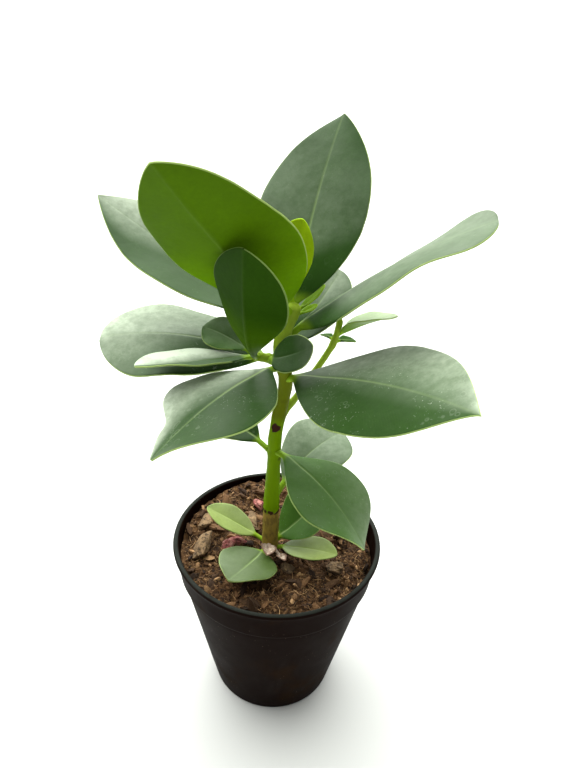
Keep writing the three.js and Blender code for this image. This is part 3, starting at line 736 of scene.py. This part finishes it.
def leaf_finishes():
    """The leaves' finishes, made once and shared: the upper, lower, edge and midrib colours of each, and then
    how dusty, how veined and how glossy it is."""
    looks = bpy.context.scene.clusia_leaf
    upper, lower, edge, rib = looks.upper[:], looks.lower[:], looks.edge[:], looks.rib[:]
    lit_edge = srgb(146, 180, 40)
    finishes = {
        "mature_blade": (upper, lower, edge, rib, 1.0, 1.0, 0.14),
        "shaded_blade": (srgb(40, 74, 12), srgb(34, 62, 5), srgb(128, 152, 84), rib, 0.4, 0.4, 0.02),
        "crown_blade": (upper, srgb(66, 96, 4), edge, rib, 0.0, 0.4, 0.03),
        "fresh_blade": (srgb(54, 89, 22), lower, edge, rib, 0.6, 1.0, 0.12),
        "base_blade": (srgb(68, 88, 38), srgb(86, 116, 44), edge, rib, 0.4, 0.6, 0.2),
        "young_blade": (srgb(128, 144, 76), srgb(100, 132, 22), edge, srgb(158, 180, 96), 0.2, 0.6, 0.12),
        "heart_blade": (srgb(90, 122, 2), srgb(126, 172, 2), lit_edge, srgb(132, 164, 40), 0.0, 0.4, 0.02),
        # heart_lit is heart_blade made brighter: painted light on the young leaf that lies in the crown's
        # shade
        "heart_lit": (srgb(160, 190, 22), srgb(132, 178, 6), lit_edge, lit_edge, 0.0, 0.4, 0.02),
        # twig_blade's pale grey-green upper colour is a painted reflection of the bright window
        "twig_blade": (srgb(160, 178, 140), srgb(88, 124, 8), edge, srgb(176, 200, 110), 0.2, 0.6, 0.2),
    }
    for key, values in finishes.items():
        name = key + "_skin"
        finishes[key] = bpy.data.materials.get(name) or leaf_finish(name, looks, *values)
    return finishes


def grow_leaves(group, stem, first):
    """A group of leaves on one stem, numbered from first."""
    finishes = leaf_finishes()
    for number, (name, shape) in enumerate(group.items()):
        grow_leaf(name, shape, stem, finishes, first + number)
    return {"FINISHED"}


class CLUSIA_OT_crown_leaves(Operator):
    """Grow the leaves of the crown and of the pair below it"""

    bl_idname = "clusia.crown_leaves"
    bl_label = "Crown Leaves"

    def execute(self, context):
        return grow_leaves(CROWN, "main_stem", 0)


class CLUSIA_OT_middle_leaves(Operator):
    """Grow the broad leaves at middle height"""

    bl_idname = "clusia.middle_leaves"
    bl_label = "Middle Leaves"

    def execute(self, context):
        return grow_leaves(MIDDLE, "main_stem", 10)


class CLUSIA_OT_low_leaves(Operator):
    """Grow the leaves low on the stem and the small ones at the soil"""

    bl_idname = "clusia.low_leaves"
    bl_label = "Low Leaves"

    def execute(self, context):
        return grow_leaves(LOW, "main_stem", 20)


class CLUSIA_OT_shoot_leaves(Operator):
    """Grow the leaves of the side shoot and the twig"""

    bl_idname = "clusia.shoot_leaves"
    bl_label = "Shoot Leaves"

    def execute(self, context):
        grow_leaves(SHOOT, "left_shoot", 30)
        return grow_leaves(TWIG, "right_twig", 40)


# ---- Stems ----

# Heights of the rings on the main stem and how far each swells, by the swelling
STEM_RINGS = [
    (87, 0.8), (109.6, 1.0), (115, 0.5), (143.5, 1.0), (164, 0.5),
    (187, 1.3), (196, 1.0), (205, 1.4), (213, 1.2),
]
# Scars: height, degrees anticlockwise from +X, half height and strength
STEM_SCARS = [(158.5, 262, 2.2, 1.0), (141, 330, 1.4, 0.32), (146, 285, 0.7, 0.25), (173, 280, 1.6, 0.22)]


def smooth_line(line, rows):
    """A line's points spread evenly and averaged with their neighbours, with the ends kept."""
    new, old = np.linspace(0, 1, rows), np.linspace(0, 1, len(line))
    even = np.stack([np.interp(new, old, line[:, k]) for k in range(3)], -1)
    span = max(3, rows // 20) | 1
    padded = np.pad(even, ((span // 2, span // 2), (0, 0)), mode="edge")
    averaged = np.stack([np.convolve(padded[:, k], np.ones(span) / span, "valid") for k in range(3)], -1)
    keep = smoothstep(0, 0.04, np.minimum(np.linspace(0, 1, rows), np.linspace(1, 0, rows)))[:, None]
    return even * (1 - keep) + averaged * keep


class CLUSIA_OT_main_stem(Operator):
    """Grow the main stem, with a ring at each leaf pair and a few dark scars"""

    bl_idname = "clusia.main_stem"
    bl_label = "Main Stem"

    def execute(self, context):
        stem = context.scene.clusia_stem
        line, radii = centreline("main_stem", *STEMS["main_stem"])
        low, high = node_box("main_stem")
        rows, columns = 300, 40
        line = smooth_line(line, rows)
        line[:, 2] = np.linspace(low[2] + 0.05, high[2] - 0.05, rows)
        radius = np.interp(line[:, 2], np.linspace(low[2], high[2], len(radii)), radii)[:, None]
        angle = np.linspace(0, 2 * np.pi, columns, endpoint=False)[None]
        height = line[:, 2:3] + 0 * angle
        swell = sum(grow * np.exp(-(((height - at) / 1.5) ** 2)) for at, grow in STEM_RINGS)
        groove = sum(np.exp(-(((height - at) / 0.35) ** 2)) for at, _ in STEM_RINGS)
        uneven = 0.12 * rough(height, 6 * np.cos(angle) + 0 * height, 5.0, 5)
        radius = radius + swell * stem.swelling / MM - 0.12 * groove + uneven
        scar = 0 * height
        for at, turn, tall, strength in STEM_SCARS:
            away = ((np.degrees(angle) - turn + 180) % 360 - 180) / (46 + 6 * (height - at) / tall)
            away = np.hypot((height - at) / tall, away) * (1 + 0.3 * rough(7 * angle, height, 1.3, 12))
            scar = np.maximum(scar, strength * np.exp(-(away**4)))
        bark = stem.bark_height / MM + 0.8 * rough(9 * angle + 0 * height, height, 2.5, 9)
        ring_line = np.exp(-(((height - bark) / 0.9) ** 2))
        ring_line = ring_line * smoothstep(-0.9, 0.1, rough(height, 9 * angle, 2.0, 8))
        scar = np.maximum(scar, ring_line)
        tip = np.sqrt(np.clip((high[2] - line[:, 2:3]) / 3.0, 0, 1))
        points, faces = skin(tube(line, (radius - 0.15 * scar) * np.minimum(1, 0.25 + tip), columns))
        scars = np.concatenate([scar.ravel(), [0, 0]])
        material = stem_finish("stem_skin", stem, False)
        piece = new_piece("main_stem_skin", points, faces, material, {"scar": scars})
        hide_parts("main_stem")
        return {"FINISHED"}


class CLUSIA_OT_side_shoots(Operator):
    """Grow the short shoot on the left and the thin twig on the right"""

    bl_idname = "clusia.side_shoots"
    bl_label = "Side Shoots"

    def execute(self, context):
        stem = context.scene.clusia_stem
        material = stem_finish("shoot_skin", stem, True)
        for node, rings in (("left_shoot", (0.3, 0.85)), ("right_twig", (0.12, 0.42, 0.78))):
            line, radii = centreline(node, *STEMS[node])
            rows, columns = 110, 28
            line = smooth_line(line, rows)
            toward = unit(line[0] - line[4])
            line[:3] += toward * np.array([2.2, 1.4, 0.6])[:, None]
            share = np.linspace(0, 1, rows)[:, None]
            radius = np.interp(share[:, 0], np.linspace(0, 1, len(radii)), radii)[:, None]
            swell = sum(np.exp(-(((share - at) * rows / 5) ** 2)) for at in rings)
            end = np.minimum(1, 0.45 + np.sqrt((1 - share) * 14))
            radius = (radius + 0.22 * swell) * end + 0 * np.zeros((1, columns))
            points, faces = skin(tube(line, radius, columns))
            piece = new_piece(node + "_skin", points, faces, material, {"scar": np.zeros(len(points))})
            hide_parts(node)
        return {"FINISHED"}


# ---- Pot ----


def pot_profile(pot):
    """The pot's section as radius and height, in three runs: up the outside from the foot, over the bead, and
    down the inside. Each corner of the section is rounded by short steps."""
    top = node_box("pot")[1]
    rim, height = top[0], top[2]
    bead, wall = pot.lip_radius / MM, pot.wall / MM
    foot, collar, step = pot.foot_radius / MM, pot.collar / MM, pot.step / MM
    collar_foot = height - collar
    body_top = rim - bead - step - 1.6
    middle = rim - bead
    inner_top = middle - wall
    outside = [
        (foot - 2, 0), (foot - 0.9, 0.2), (foot - 0.2, 0.9), (foot, 2), (foot + 0.4, 3.6),
        (body_top - 0.1, collar_foot - 2.4), (body_top, collar_foot - 1.1),
        (body_top + 0.35 * step, collar_foot - 0.5),
        (body_top + 0.85 * step, collar_foot), (body_top + step, collar_foot + 0.6),
        (body_top + step + 0.1, collar_foot + 1.6), (middle - 0.02, height - 2.6 * bead),
    ]
    turn = np.radians(np.linspace(-70, 190, 15))
    over = np.stack([middle + bead * np.cos(turn), height - bead + bead * np.sin(turn)], -1)
    inside = [
        (inner_top - 0.1, height - 2.2 * bead), (inner_top - 0.95, collar_foot + 1.4),
        (body_top - wall + 0.25, collar_foot + 0.2), (body_top - wall, collar_foot - 1.2),
        (foot - wall + 0.3, 3.4), (foot - wall - 0.6, wall + 0.5), (foot - wall - 1.5, wall),
    ]
    return np.array(outside), over, np.array(inside)


def along_profile(profile, gap):
    """Points along a section, no further apart than the gap, with its corners kept."""
    pieces = [profile[:1]]
    for start, end in zip(profile[:-1], profile[1:]):
        count = max(1, math.ceil(np.linalg.norm(end - start) / gap))
        pieces.append(start + (end - start) * (np.arange(1, count + 1) / count)[:, None])
    return np.vstack(pieces)


# The base plate: how far its plain middle reaches, and how far out the drain holes lie
PLATE_CORE, HOLE_REACH = 12.0, 23.1


def plate_sector(outer, height, hole_radius, holes, side_steps, rim_steps):
    """One sector of the base with a round hole in its middle: points go from the sector's border, which is
    two arcs and two straight sides, to the hole's circle by equal shares."""
    half = math.pi / holes
    sweep = np.linspace(-half, half, side_steps, endpoint=False)
    reach = np.linspace(PLATE_CORE, outer, rim_steps, endpoint=False)
    polar = np.concatenate([
        np.stack([np.full(rim_steps, -half), reach], -1),
        np.stack([sweep, np.full(side_steps, outer)], -1),
        np.stack([np.full(rim_steps, half), outer + PLATE_CORE - reach], -1),
        np.stack([-sweep, np.full(side_steps, PLATE_CORE)], -1),
    ])
    border = np.stack([polar[:, 1] * np.cos(polar[:, 0]), polar[:, 1] * np.sin(polar[:, 0])], -1)
    middle = np.array([HOLE_REACH, 0.0])
    circle = middle + hole_radius * unit(border - middle)
    shares = np.linspace(0, 1, 6)[:, None, None]
    flat = border * (1 - shares) + circle * shares
    return np.concatenate([flat, np.full((*flat.shape[:2], 1), height)], -1)


def merged(points, quads):
    """Points that lie together made one, and quads that lost a corner made triangles."""
    keys, where = np.unique(np.round(points, 3), axis=0, return_inverse=True)
    quads = where.reshape(-1)[quads]
    same = quads == np.roll(quads, -1, axis=1)
    whole = quads[~same.any(1)]
    bent = quads[same.sum(1) == 1]
    thin = same[same.sum(1) == 1]
    return keys, [whole, bent[~thin].reshape(-1, 3)]


def turn_about_z(points, angle):
    cos, sin = math.cos(angle), math.sin(angle)
    return points @ np.array([[cos, sin, 0], [-sin, cos, 0], [0, 0, 1]])


class CLUSIA_OT_pot(Operator):
    """Turn the pot from its section, with a base plate that has a ring of drain holes"""

    bl_idname = "clusia.pot"
    bl_label = "Pot"

    def execute(self, context):
        pot = context.scene.clusia_pot
        holes, per_sector, deep = pot.holes, 24, 12
        columns = holes * per_sector
        profile = along_profile(np.vstack(pot_profile(pot)), 2.5)
        angle = -math.pi / holes + 2 * math.pi * np.arange(columns) / columns
        ring = np.stack([np.cos(angle), np.sin(angle)], -1)
        wall_points = np.concatenate([
            profile[:, None, :1] * ring[None],
            np.broadcast_to(profile[:, 1][:, None, None], (len(profile), columns, 1)),
        ], -1)
        blocks = [(wall_points.reshape(-1, 3), grid_faces(len(profile), columns)[:, ::-1])]
        wall = pot.wall / MM
        radius = pot.hole_radius / MM
        for outer, height, reverse in ((profile[0, 0], 0.0, True), (profile[-1, 0], wall, False)):
            for k in range(holes):
                sector = plate_sector(outer, height, radius, holes, per_sector, deep)
                sector = turn_about_z(sector.reshape(-1, 3), 2 * math.pi * k / holes).reshape(sector.shape)
                quads = grid_faces(*sector.shape[:2])
                blocks.append((sector.reshape(-1, 3), quads if reverse else quads[:, ::-1]))
            disc = np.concatenate([
                np.linspace(PLATE_CORE, 0, 4)[:, None, None] * ring[None],
                np.full((4, columns, 1), height),
            ], -1)
            quads = grid_faces(4, columns)
            blocks.append((disc.reshape(-1, 3), quads if reverse else quads[:, ::-1]))
        for k in range(holes):
            low = plate_sector(profile[0, 0], 0.0, radius, holes, per_sector, deep)[-1]
            high = plate_sector(profile[-1, 0], wall, radius, holes, per_sector, deep)[-1]
            sleeve = turn_about_z(np.vstack([low, high]), 2 * math.pi * k / holes)
            blocks.append((sleeve, grid_faces(2, len(low))))
        firsts = np.cumsum([0] + [len(points) for points, _ in blocks[:-1]])
        points = np.vstack([points for points, _ in blocks])
        quads = np.vstack([quads + first for (_, quads), first in zip(blocks, firsts)])
        points, faces = merged(points, quads)
        piece = new_piece("pot_shell", points, faces, pot_finish(pot))
        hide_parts("pot")
        return {"FINISHED"}


# ---- Soil ----


# The soil: the radius of its edge and where the even rows of its side end, in mm
SOIL_EDGE, SOIL_SIDE_TOP = 49.0, 81.5


def soil_base(x, y, soil):
    """The soil's broad surface: level round the stem, higher at the back, lower to the right, uneven."""
    edge = SOIL_EDGE
    back = soil.back_rise / MM * np.clip(y / edge, 0, 1) ** 1.5
    bumps = np.sin(0.31 * x + 1.3) * np.cos(0.27 * y) + np.sin(0.17 * x - 0.23 * y)
    return soil.height / MM + back - soil.slope * x + soil.bump / MM * bumps


def soil_grain(x, y, soil):
    """Fine unevenness: four layers of lattice noise, each about half the size and height of the last."""
    sizes = ((5.2, 0.5), (2.6, 0.3), (1.3, 0.2), (0.7, 0.12))
    layers = [share * rough(x + 90, y + 90, cell, 11 + k) for k, (cell, share) in enumerate(sizes)]
    return soil.grain / MM * sum(layers)


class CLUSIA_OT_soil(Operator):
    """Lay the soil as one uneven body inside the pot"""

    bl_idname = "clusia.soil"
    bl_label = "Soil"

    def execute(self, context):
        soil = context.scene.clusia_soil
        wall = pot_profile(context.scene.clusia_pot)[2][::-1]
        foot = node_box("soil")[0][2]
        side = np.concatenate([[foot, foot + 0.1], np.linspace(foot + 1.2, SOIL_SIDE_TOP, 16)])
        reach = np.interp(side, wall[:, 1], wall[:, 0]) - 0.25
        reach[:2] -= 1.2, 0.4
        edge = reach[-1]
        below, above = reach[0] * np.array([0.1, 0.4, 0.7, 0.9]), edge * np.linspace(0.998, 0.006, 94)
        radius = np.concatenate([below, reach, above])
        side = np.concatenate([np.full(4, foot), side, np.zeros(94)])
        columns = 260
        angle = 2 * math.pi * np.arange(columns) / columns
        x = radius[:, None] * np.cos(angle)[None]
        y = radius[:, None] * np.sin(angle)[None]
        z = side[:, None] + 0 * x
        upper = side == 0
        grain = soil_grain(x[upper], y[upper], soil)
        z[upper] = soil_base(x[upper], y[upper], soil) + grain
        z[4:-94] = np.minimum(z[4:-94], z[-94] - 0.4)
        points, faces = skin(np.stack([x, y, z], -1))
        hollow_shade = np.zeros_like(x)
        # Painted shade: how far below the rest each point of the fine bumps lies
        hollow_shade[upper] = smoothstep(0.05, -0.9, grain / (soil.grain / MM))
        hollow_shade = np.concatenate([hollow_shade.ravel(), [0, 0]])
        piece = new_piece("soil_bed", points, faces, soil_finish(soil), {"hollow_shade": hollow_shade})
        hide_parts("soil")
        return {"FINISHED"}


# How far from the middle scraps and fibres are strewn, and how far any point of them may reach, in mm
SCRAP_MIDDLES, FIBRE_MIDDLES = 47.6, 46.5
SCRAP_REACH, FIBRE_REACH = 48.6, 48.0


def scatter(count, reach, seed):
    """Places spread evenly by area over a disc."""
    rng = np.random.default_rng(seed)
    radius = reach * np.sqrt(rng.uniform(0, 1, count))
    angle = rng.uniform(0, 2 * np.pi, count)
    return radius * np.cos(angle), radius * np.sin(angle), rng


def spin(yaw, pitch, bank):
    """Rotation matrices from three angles each: bank about X, then pitch about Y, then yaw about Z."""
    zero, one = np.zeros_like(yaw), np.ones_like(yaw)
    (cz, sz), (cy, sy), (cx, sx) = [(np.cos(angle), np.sin(angle)) for angle in (yaw, pitch, bank)]
    about_z = np.array([[cz, -sz, zero], [sz, cz, zero], [zero, zero, one]])
    about_y = np.array([[cy, zero, sy], [zero, one, zero], [-sy, zero, cy]])
    about_x = np.array([[one, zero, zero], [zero, cx, -sx], [zero, sx, cx]])
    return np.einsum("ijn,jkn,kln->nil", about_z, about_y, about_x)


def ball(rows, columns):
    """A unit ball of rings with a point at each end."""
    lift = np.pi * (np.arange(1, rows + 1) / (rows + 1) - 0.5)
    turn = 2 * np.pi * np.arange(columns) / columns
    x, y = np.cos(lift)[:, None] * np.cos(turn), np.cos(lift)[:, None] * np.sin(turn)
    rings = np.stack([x, y, np.sin(lift)[:, None] + 0 * x], -1)
    points, faces = skin(rings)
    points[-2:] = [[0, 0, -1], [0, 0, 1]]
    return points, faces


def strew(name, count, seed, sizes, shape, stand, tilt, soil, material, tones):
    """Loose scraps on the soil: one small ball, stretched, dented at random and turned for each scrap. The
    sizes are the mean and spread of a scrap's size by logarithm and its least and greatest stretch, stand is
    how far it stands out of the soil, and the tones shape the spread of its colour."""
    x, y, rng = scatter(count, SCRAP_MIDDLES, seed)
    base, faces = ball(*shape)
    size = rng.lognormal(sizes[0], sizes[1], count)[:, None] * rng.uniform(sizes[2], sizes[3], (count, 3))
    dents = 1 + rng.uniform(-0.28, 0.28, (count, len(base), 1))
    turns = spin(rng.uniform(0, 2 * np.pi, count), rng.normal(0, tilt, count), rng.normal(0, tilt, count))
    points = np.einsum("nij,nvj->nvi", turns, base[None] * dents * size[:, None] / 2)
    ground = soil_base(x, y, soil) + soil_grain(x, y, soil)
    points += np.stack([x, y, ground + stand * size[:, 2]], -1)[:, None]
    reach = np.hypot(points[..., 0], points[..., 1])
    inward = np.minimum(1, SCRAP_REACH / np.maximum(reach, 1e-6))[..., None]
    points[..., :2] *= inward
    tone = np.repeat(rng.beta(*tones, count), len(base))
    faces = repeated(faces, count, len(base))
    piece = new_piece(name, points.reshape(-1, 3), faces, material, {"tone": tone}, smooth=False)


class CLUSIA_OT_scraps(Operator):
    """Strew bark chips, fine crumbs and fibres over the soil"""

    bl_idname = "clusia.scraps"
    bl_label = "Chips and Fibres"

    def execute(self, context):
        soil = context.scene.clusia_soil
        chip = scrap_finish(soil)
        thin, round_ = ((0.8, 0.35, 0.2), (1.6, 0.85, 0.45)), ((0.6, 0.6, 0.5), (1.3, 1.0, 0.9))
        strew("soil_chips", soil.chips, 21, (0.95, 0.45, *thin), (3, 7), 0.3, 0.5, soil, chip, (1.1, 1.9))
        strew("soil_crumbs", soil.crumbs, 22, (-0.1, 0.4, *round_), (2, 5), 0.1, 0.3, soil, chip, (1.1, 2.3))
        x, y, rng = scatter(soil.fibres, FIBRE_MIDDLES, 23)
        steps = np.linspace(-0.5, 0.5, 7)
        length = rng.uniform(2.0, 8.0, len(x))[:, None]
        yaw = rng.uniform(0, 2 * np.pi, len(x))[:, None]
        bow = rng.normal(0, 0.22, len(x))[:, None] * length
        run, side = steps[None] * length, bow * (0.25 - steps[None] ** 2) * 4
        line_x = x[:, None] + run * np.cos(yaw) - side * np.sin(yaw)
        line_y = y[:, None] + run * np.sin(yaw) + side * np.cos(yaw)
        inward = np.minimum(1, FIBRE_REACH / np.hypot(line_x, line_y))
        line_x, line_y = line_x * inward, line_y * inward
        lift = rng.uniform(0.3, 1.1, len(x))[:, None] + rng.normal(0, 0.25, len(x))[:, None] * steps[None] * 3
        line_z = soil_base(line_x, line_y, soil) + 0.6 * soil_grain(line_x, line_y, soil) + lift
        thin = rng.uniform(0.07, 0.2, len(x))[:, None, None]
        turn = 2 * np.pi * np.arange(4) / 4
        ring_side, ring_up = np.cos(turn)[None, None] * thin, np.sin(turn)[None, None] * thin
        taper = (1 - 0.7 * np.abs(2 * steps) ** 3)[None, :, None]
        px = line_x[..., None] - np.sin(yaw)[..., None] * ring_side * taper
        py = line_y[..., None] + np.cos(yaw)[..., None] * ring_side * taper
        pz = line_z[..., None] + ring_up * taper
        points = np.stack([px, py, pz], -1)
        _, faces = skin(points[0])
        points = np.concatenate([points.reshape(len(x), -1, 3), points[:, [0, -1]].mean(2)], 1)
        faces = repeated(faces, *points.shape[:2])
        tone = np.repeat(rng.beta(3.0, 2.0, len(x)), points.shape[1])
        piece = new_piece("soil_fibres", points.reshape(-1, 3), faces, chip, {"tone": tone})
        return {"FINISHED"}


# Each lump's turn in degrees, and how uneven it is
LUMPS = {
    "stone_pink_left": (10, 0.3), "stone_pink_back": (20, 0.3), "bark_left_front": (-12, 0.22),
    "bark_left_back": (-8, 0.25), "bark_middle": (25, 0.25), "bark_front": (15, 0.25),
    "bark_right": (35, 0.3),
}
LUMP_FACES, LUMP_SHARPNESS = 15, 16


def lump(node, turn, uneven, seed):
    """A broken nugget that fills its CAD node's box: the body that lies inside fifteen planes set at random
    round a centre, its edges a little rounded, roughened by three layers of noise, turned, and stretched so
    its box is the node's. A way's reach is one over the p-norm of its leanings on the planes, each over the
    plane's distance."""
    ways, faces = ball(60, 80)
    rng = np.random.default_rng(seed)
    planes = unit(rng.normal(0, 1, (LUMP_FACES, 3)))
    far = rng.uniform(0.62, 1.0, LUMP_FACES)
    lean = np.maximum(ways @ planes.T, 0) / far
    reach = 1 / np.maximum((lean**LUMP_SHARPNESS).sum(1) ** (1 / LUMP_SHARPNESS), 0.6)
    push = 0
    for k, cell in enumerate((0.5, 0.24, 0.11)):
        flat = rough(ways[:, 0] + 7 + ways[:, 2] * 1.7, ways[:, 1] + 7 - ways[:, 2] * 1.3, cell, seed + k)
        push = push + flat * 0.6**k
    shaped = ways * (reach * (1 + 0.45 * uneven * push))[:, None]
    low, high = node_box(node)
    size = high - low
    shaped = turn_about_z(shaped * np.array([size[0] / size[1], 1, 1]) ** 1.2, math.radians(turn))
    spread = shaped.max(0) - shaped.min(0)
    return (shaped - (shaped.max(0) + shaped.min(0)) / 2) / spread * (size - 0.02) + (low + high) / 2, faces


class CLUSIA_OT_lumps(Operator):
    """Set the pink nuggets and the large bark pieces into the soil"""

    bl_idname = "clusia.lumps"
    bl_label = "Nuggets and Bark"

    def execute(self, context):
        finishes = {
            "stone": lump_finish("pink_nugget", srgb(84, 40, 36), srgb(152, 84, 82), srgb(170, 118, 108)),
            "bark": lump_finish("bark_nugget", srgb(46, 34, 24), srgb(100, 78, 54), srgb(134, 108, 78)),
        }
        for number, (node, (turn, uneven)) in enumerate(LUMPS.items()):
            kind = node.split("_")[0]
            points, faces = lump(node, turn, uneven, 60 + 5 * number)
            piece = new_piece(node + "_nugget", points, faces, finishes[kind])
            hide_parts(node)
        return {"FINISHED"}


class CLUSIA_OT_husks(Operator):
    """Shape the dry scales left at the foot of the stem"""

    bl_idname = "clusia.husks"
    bl_label = "Dry Husks"

    def execute(self, context):
        material = husk_finish()
        for number, (node, shape) in enumerate(HUSKS.items()):
            leaf = leaf_of(shape)
            start = leaf_start(leaf, "main_stem")
            rings, facts = leaf_surface(leaf, start, 0.5, 40, 12, 0.12, 70 + number)
            points, faces = skin(rings)
            points = settle(points, node)
            ends = lambda key: np.concatenate([facts[key].ravel(), [0.5, 0.5]])
            attributes = {key: ends(key) for key in ("side", "margin")}
            piece = new_piece(node + "_scale", points, faces, material, attributes)
            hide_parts(node)
        return {"FINISHED"}


# ---- Stage ----


def area_light(name, place, target, size, power):
    light = bpy.data.lights.new(name, "AREA")
    light.shape = "RECTANGLE"
    light.size, light.size_y = size
    light.energy = power
    lamp = bpy.data.objects.new(name, light)
    lamp.location = place
    lamp.rotation_euler = (Vector(target) - Vector(place)).to_track_quat("-Z", "Y").to_euler()
    lamp.visible_camera = False
    bpy.context.scene.collection.objects.link(lamp)


def room(stage):
    """The surroundings: dim, with a broad bright window high behind that fades out towards the horizon. The
    camera itself sees an even pale backdrop."""
    g = Graph("pale_room", bpy.data.worlds, "Background")
    where = g.node("ShaderNodeTexCoord", {}).outputs["Generated"]
    aim = {0: where, 1: Vector((-0.2, 0.56, 0.8)).normalized()}
    facing = g.node("ShaderNodeVectorMath", aim, operation="DOT_PRODUCT").outputs["Value"]
    height = g.node("ShaderNodeSeparateXYZ", {"Vector": where}).outputs["Z"]
    glow = g.times(g.step(facing, 0.35, 0.97, 0.0, stage.window), g.step(height, 0.1, 0.45))
    seen = g.node("ShaderNodeLightPath", {}).outputs["Is Camera Ray"]
    light = g.node("ShaderNodeMix", {"Factor": seen, 2: g.plus(glow, stage.sky), 3: stage.backdrop})
    g.put(g.surface.inputs["Strength"], light.outputs[0])
    g.put(g.surface.inputs["Color"], (0.97, 1.0, 0.94))
    return g.material


class CLUSIA_OT_stage(Operator):
    """Lay the pale floor, hang the soft lights and set the camera"""

    bl_idname = "clusia.stage"
    bl_label = "Stage"

    def execute(self, context):
        scene = context.scene
        stage = scene.clusia_stage
        reach = 40.0
        mesh = bpy.data.meshes.new("floor")
        corners = [(-reach, -reach, 0), (reach, -reach, 0), (reach, reach, 0), (-reach, reach, 0)]
        mesh.from_pydata(corners, [], [(0, 1, 2, 3)])
        mesh.materials.append(floor_finish(stage.floor[:]))
        floor = bpy.data.objects.new("floor", mesh)
        scene.collection.objects.link(floor)

        scene.world = room(stage)

        area_light("window_light", (-0.3, 0.9, 1.3), (0, 0, 0.18), (1.2, 0.9), stage.key)
        area_light("front_fill", (0.5, -1.0, 0.7), (0, 0, 0.15), (0.8, 0.8), stage.fill)

        rim = Vector((0, 0, node_box("pot")[1][2] * MM + 0.00033))
        lift = math.radians(stage.elevation)
        place = rim + stage.distance * Vector((0, -math.cos(lift), math.sin(lift)))
        camera = bpy.data.cameras.new("camera")
        camera.lens = stage.lens
        camera.sensor_width = 36.0
        camera.clip_start = 0.01
        eye = bpy.data.objects.new("camera", camera)
        level = Matrix.Rotation(math.radians(90) - lift, 4, "X")
        roll = Matrix.Rotation(math.radians(-stage.roll), 4, "Z")
        tilt = Matrix.Rotation(math.radians(stage.tilt), 4, "X")
        pan = Matrix.Rotation(math.radians(-stage.pan), 4, "Y")
        eye.matrix_world = Matrix.Translation(place) @ level @ roll @ tilt @ pan
        scene.collection.objects.link(eye)
        scene.camera = eye
        scene.view_settings.view_transform = "Standard"
        return {"FINISHED"}


# ---- Add-on ----


class CLUSIA_PT_panel(Panel):
    bl_idname = "CLUSIA_PT_panel"
    bl_label = "Potted Clusia"
    bl_space_type = "VIEW_3D"
    bl_region_type = "UI"
    bl_category = "Clusia"

    def draw(self, context):
        for operator in OPERATORS:
            self.layout.operator(operator.bl_idname)
        for key, group in GROUPS.items():
            box = self.layout.box()
            box.label(text=key.replace("clusia_", "").title())
            for name in group.__annotations__:
                box.prop(getattr(context.scene, key), name)


GROUPS = {
    "clusia_pot": ClusiaPot,
    "clusia_soil": ClusiaSoil,
    "clusia_stem": ClusiaStem,
    "clusia_leaf": ClusiaLeaf,
    "clusia_stage": ClusiaStage,
}
OPERATORS = (
    CLUSIA_OT_pot,
    CLUSIA_OT_soil,
    CLUSIA_OT_scraps,
    CLUSIA_OT_lumps,
    CLUSIA_OT_main_stem,
    CLUSIA_OT_side_shoots,
    CLUSIA_OT_husks,
    CLUSIA_OT_low_leaves,
    CLUSIA_OT_middle_leaves,
    CLUSIA_OT_crown_leaves,
    CLUSIA_OT_shoot_leaves,
    CLUSIA_OT_stage,
)


def register():
    for group in GROUPS.values():
        bpy.utils.register_class(group)
    for key, group in GROUPS.items():
        setattr(bpy.types.Scene, key, PointerProperty(type=group))
    for operator in OPERATORS:
        bpy.utils.register_class(operator)
    bpy.utils.register_class(CLUSIA_PT_panel)


def unregister():
    bpy.utils.unregister_class(CLUSIA_PT_panel)
    for operator in reversed(OPERATORS):
        bpy.utils.unregister_class(operator)
    for key in GROUPS:
        delattr(bpy.types.Scene, key)
    for group in reversed(tuple(GROUPS.values())):
        bpy.utils.unregister_class(group)


def main():
    register()
    for operator in OPERATORS:
        family, action = operator.bl_idname.split(".")
        getattr(getattr(bpy.ops, family), action)()


if __name__ == "__main__":
    main()
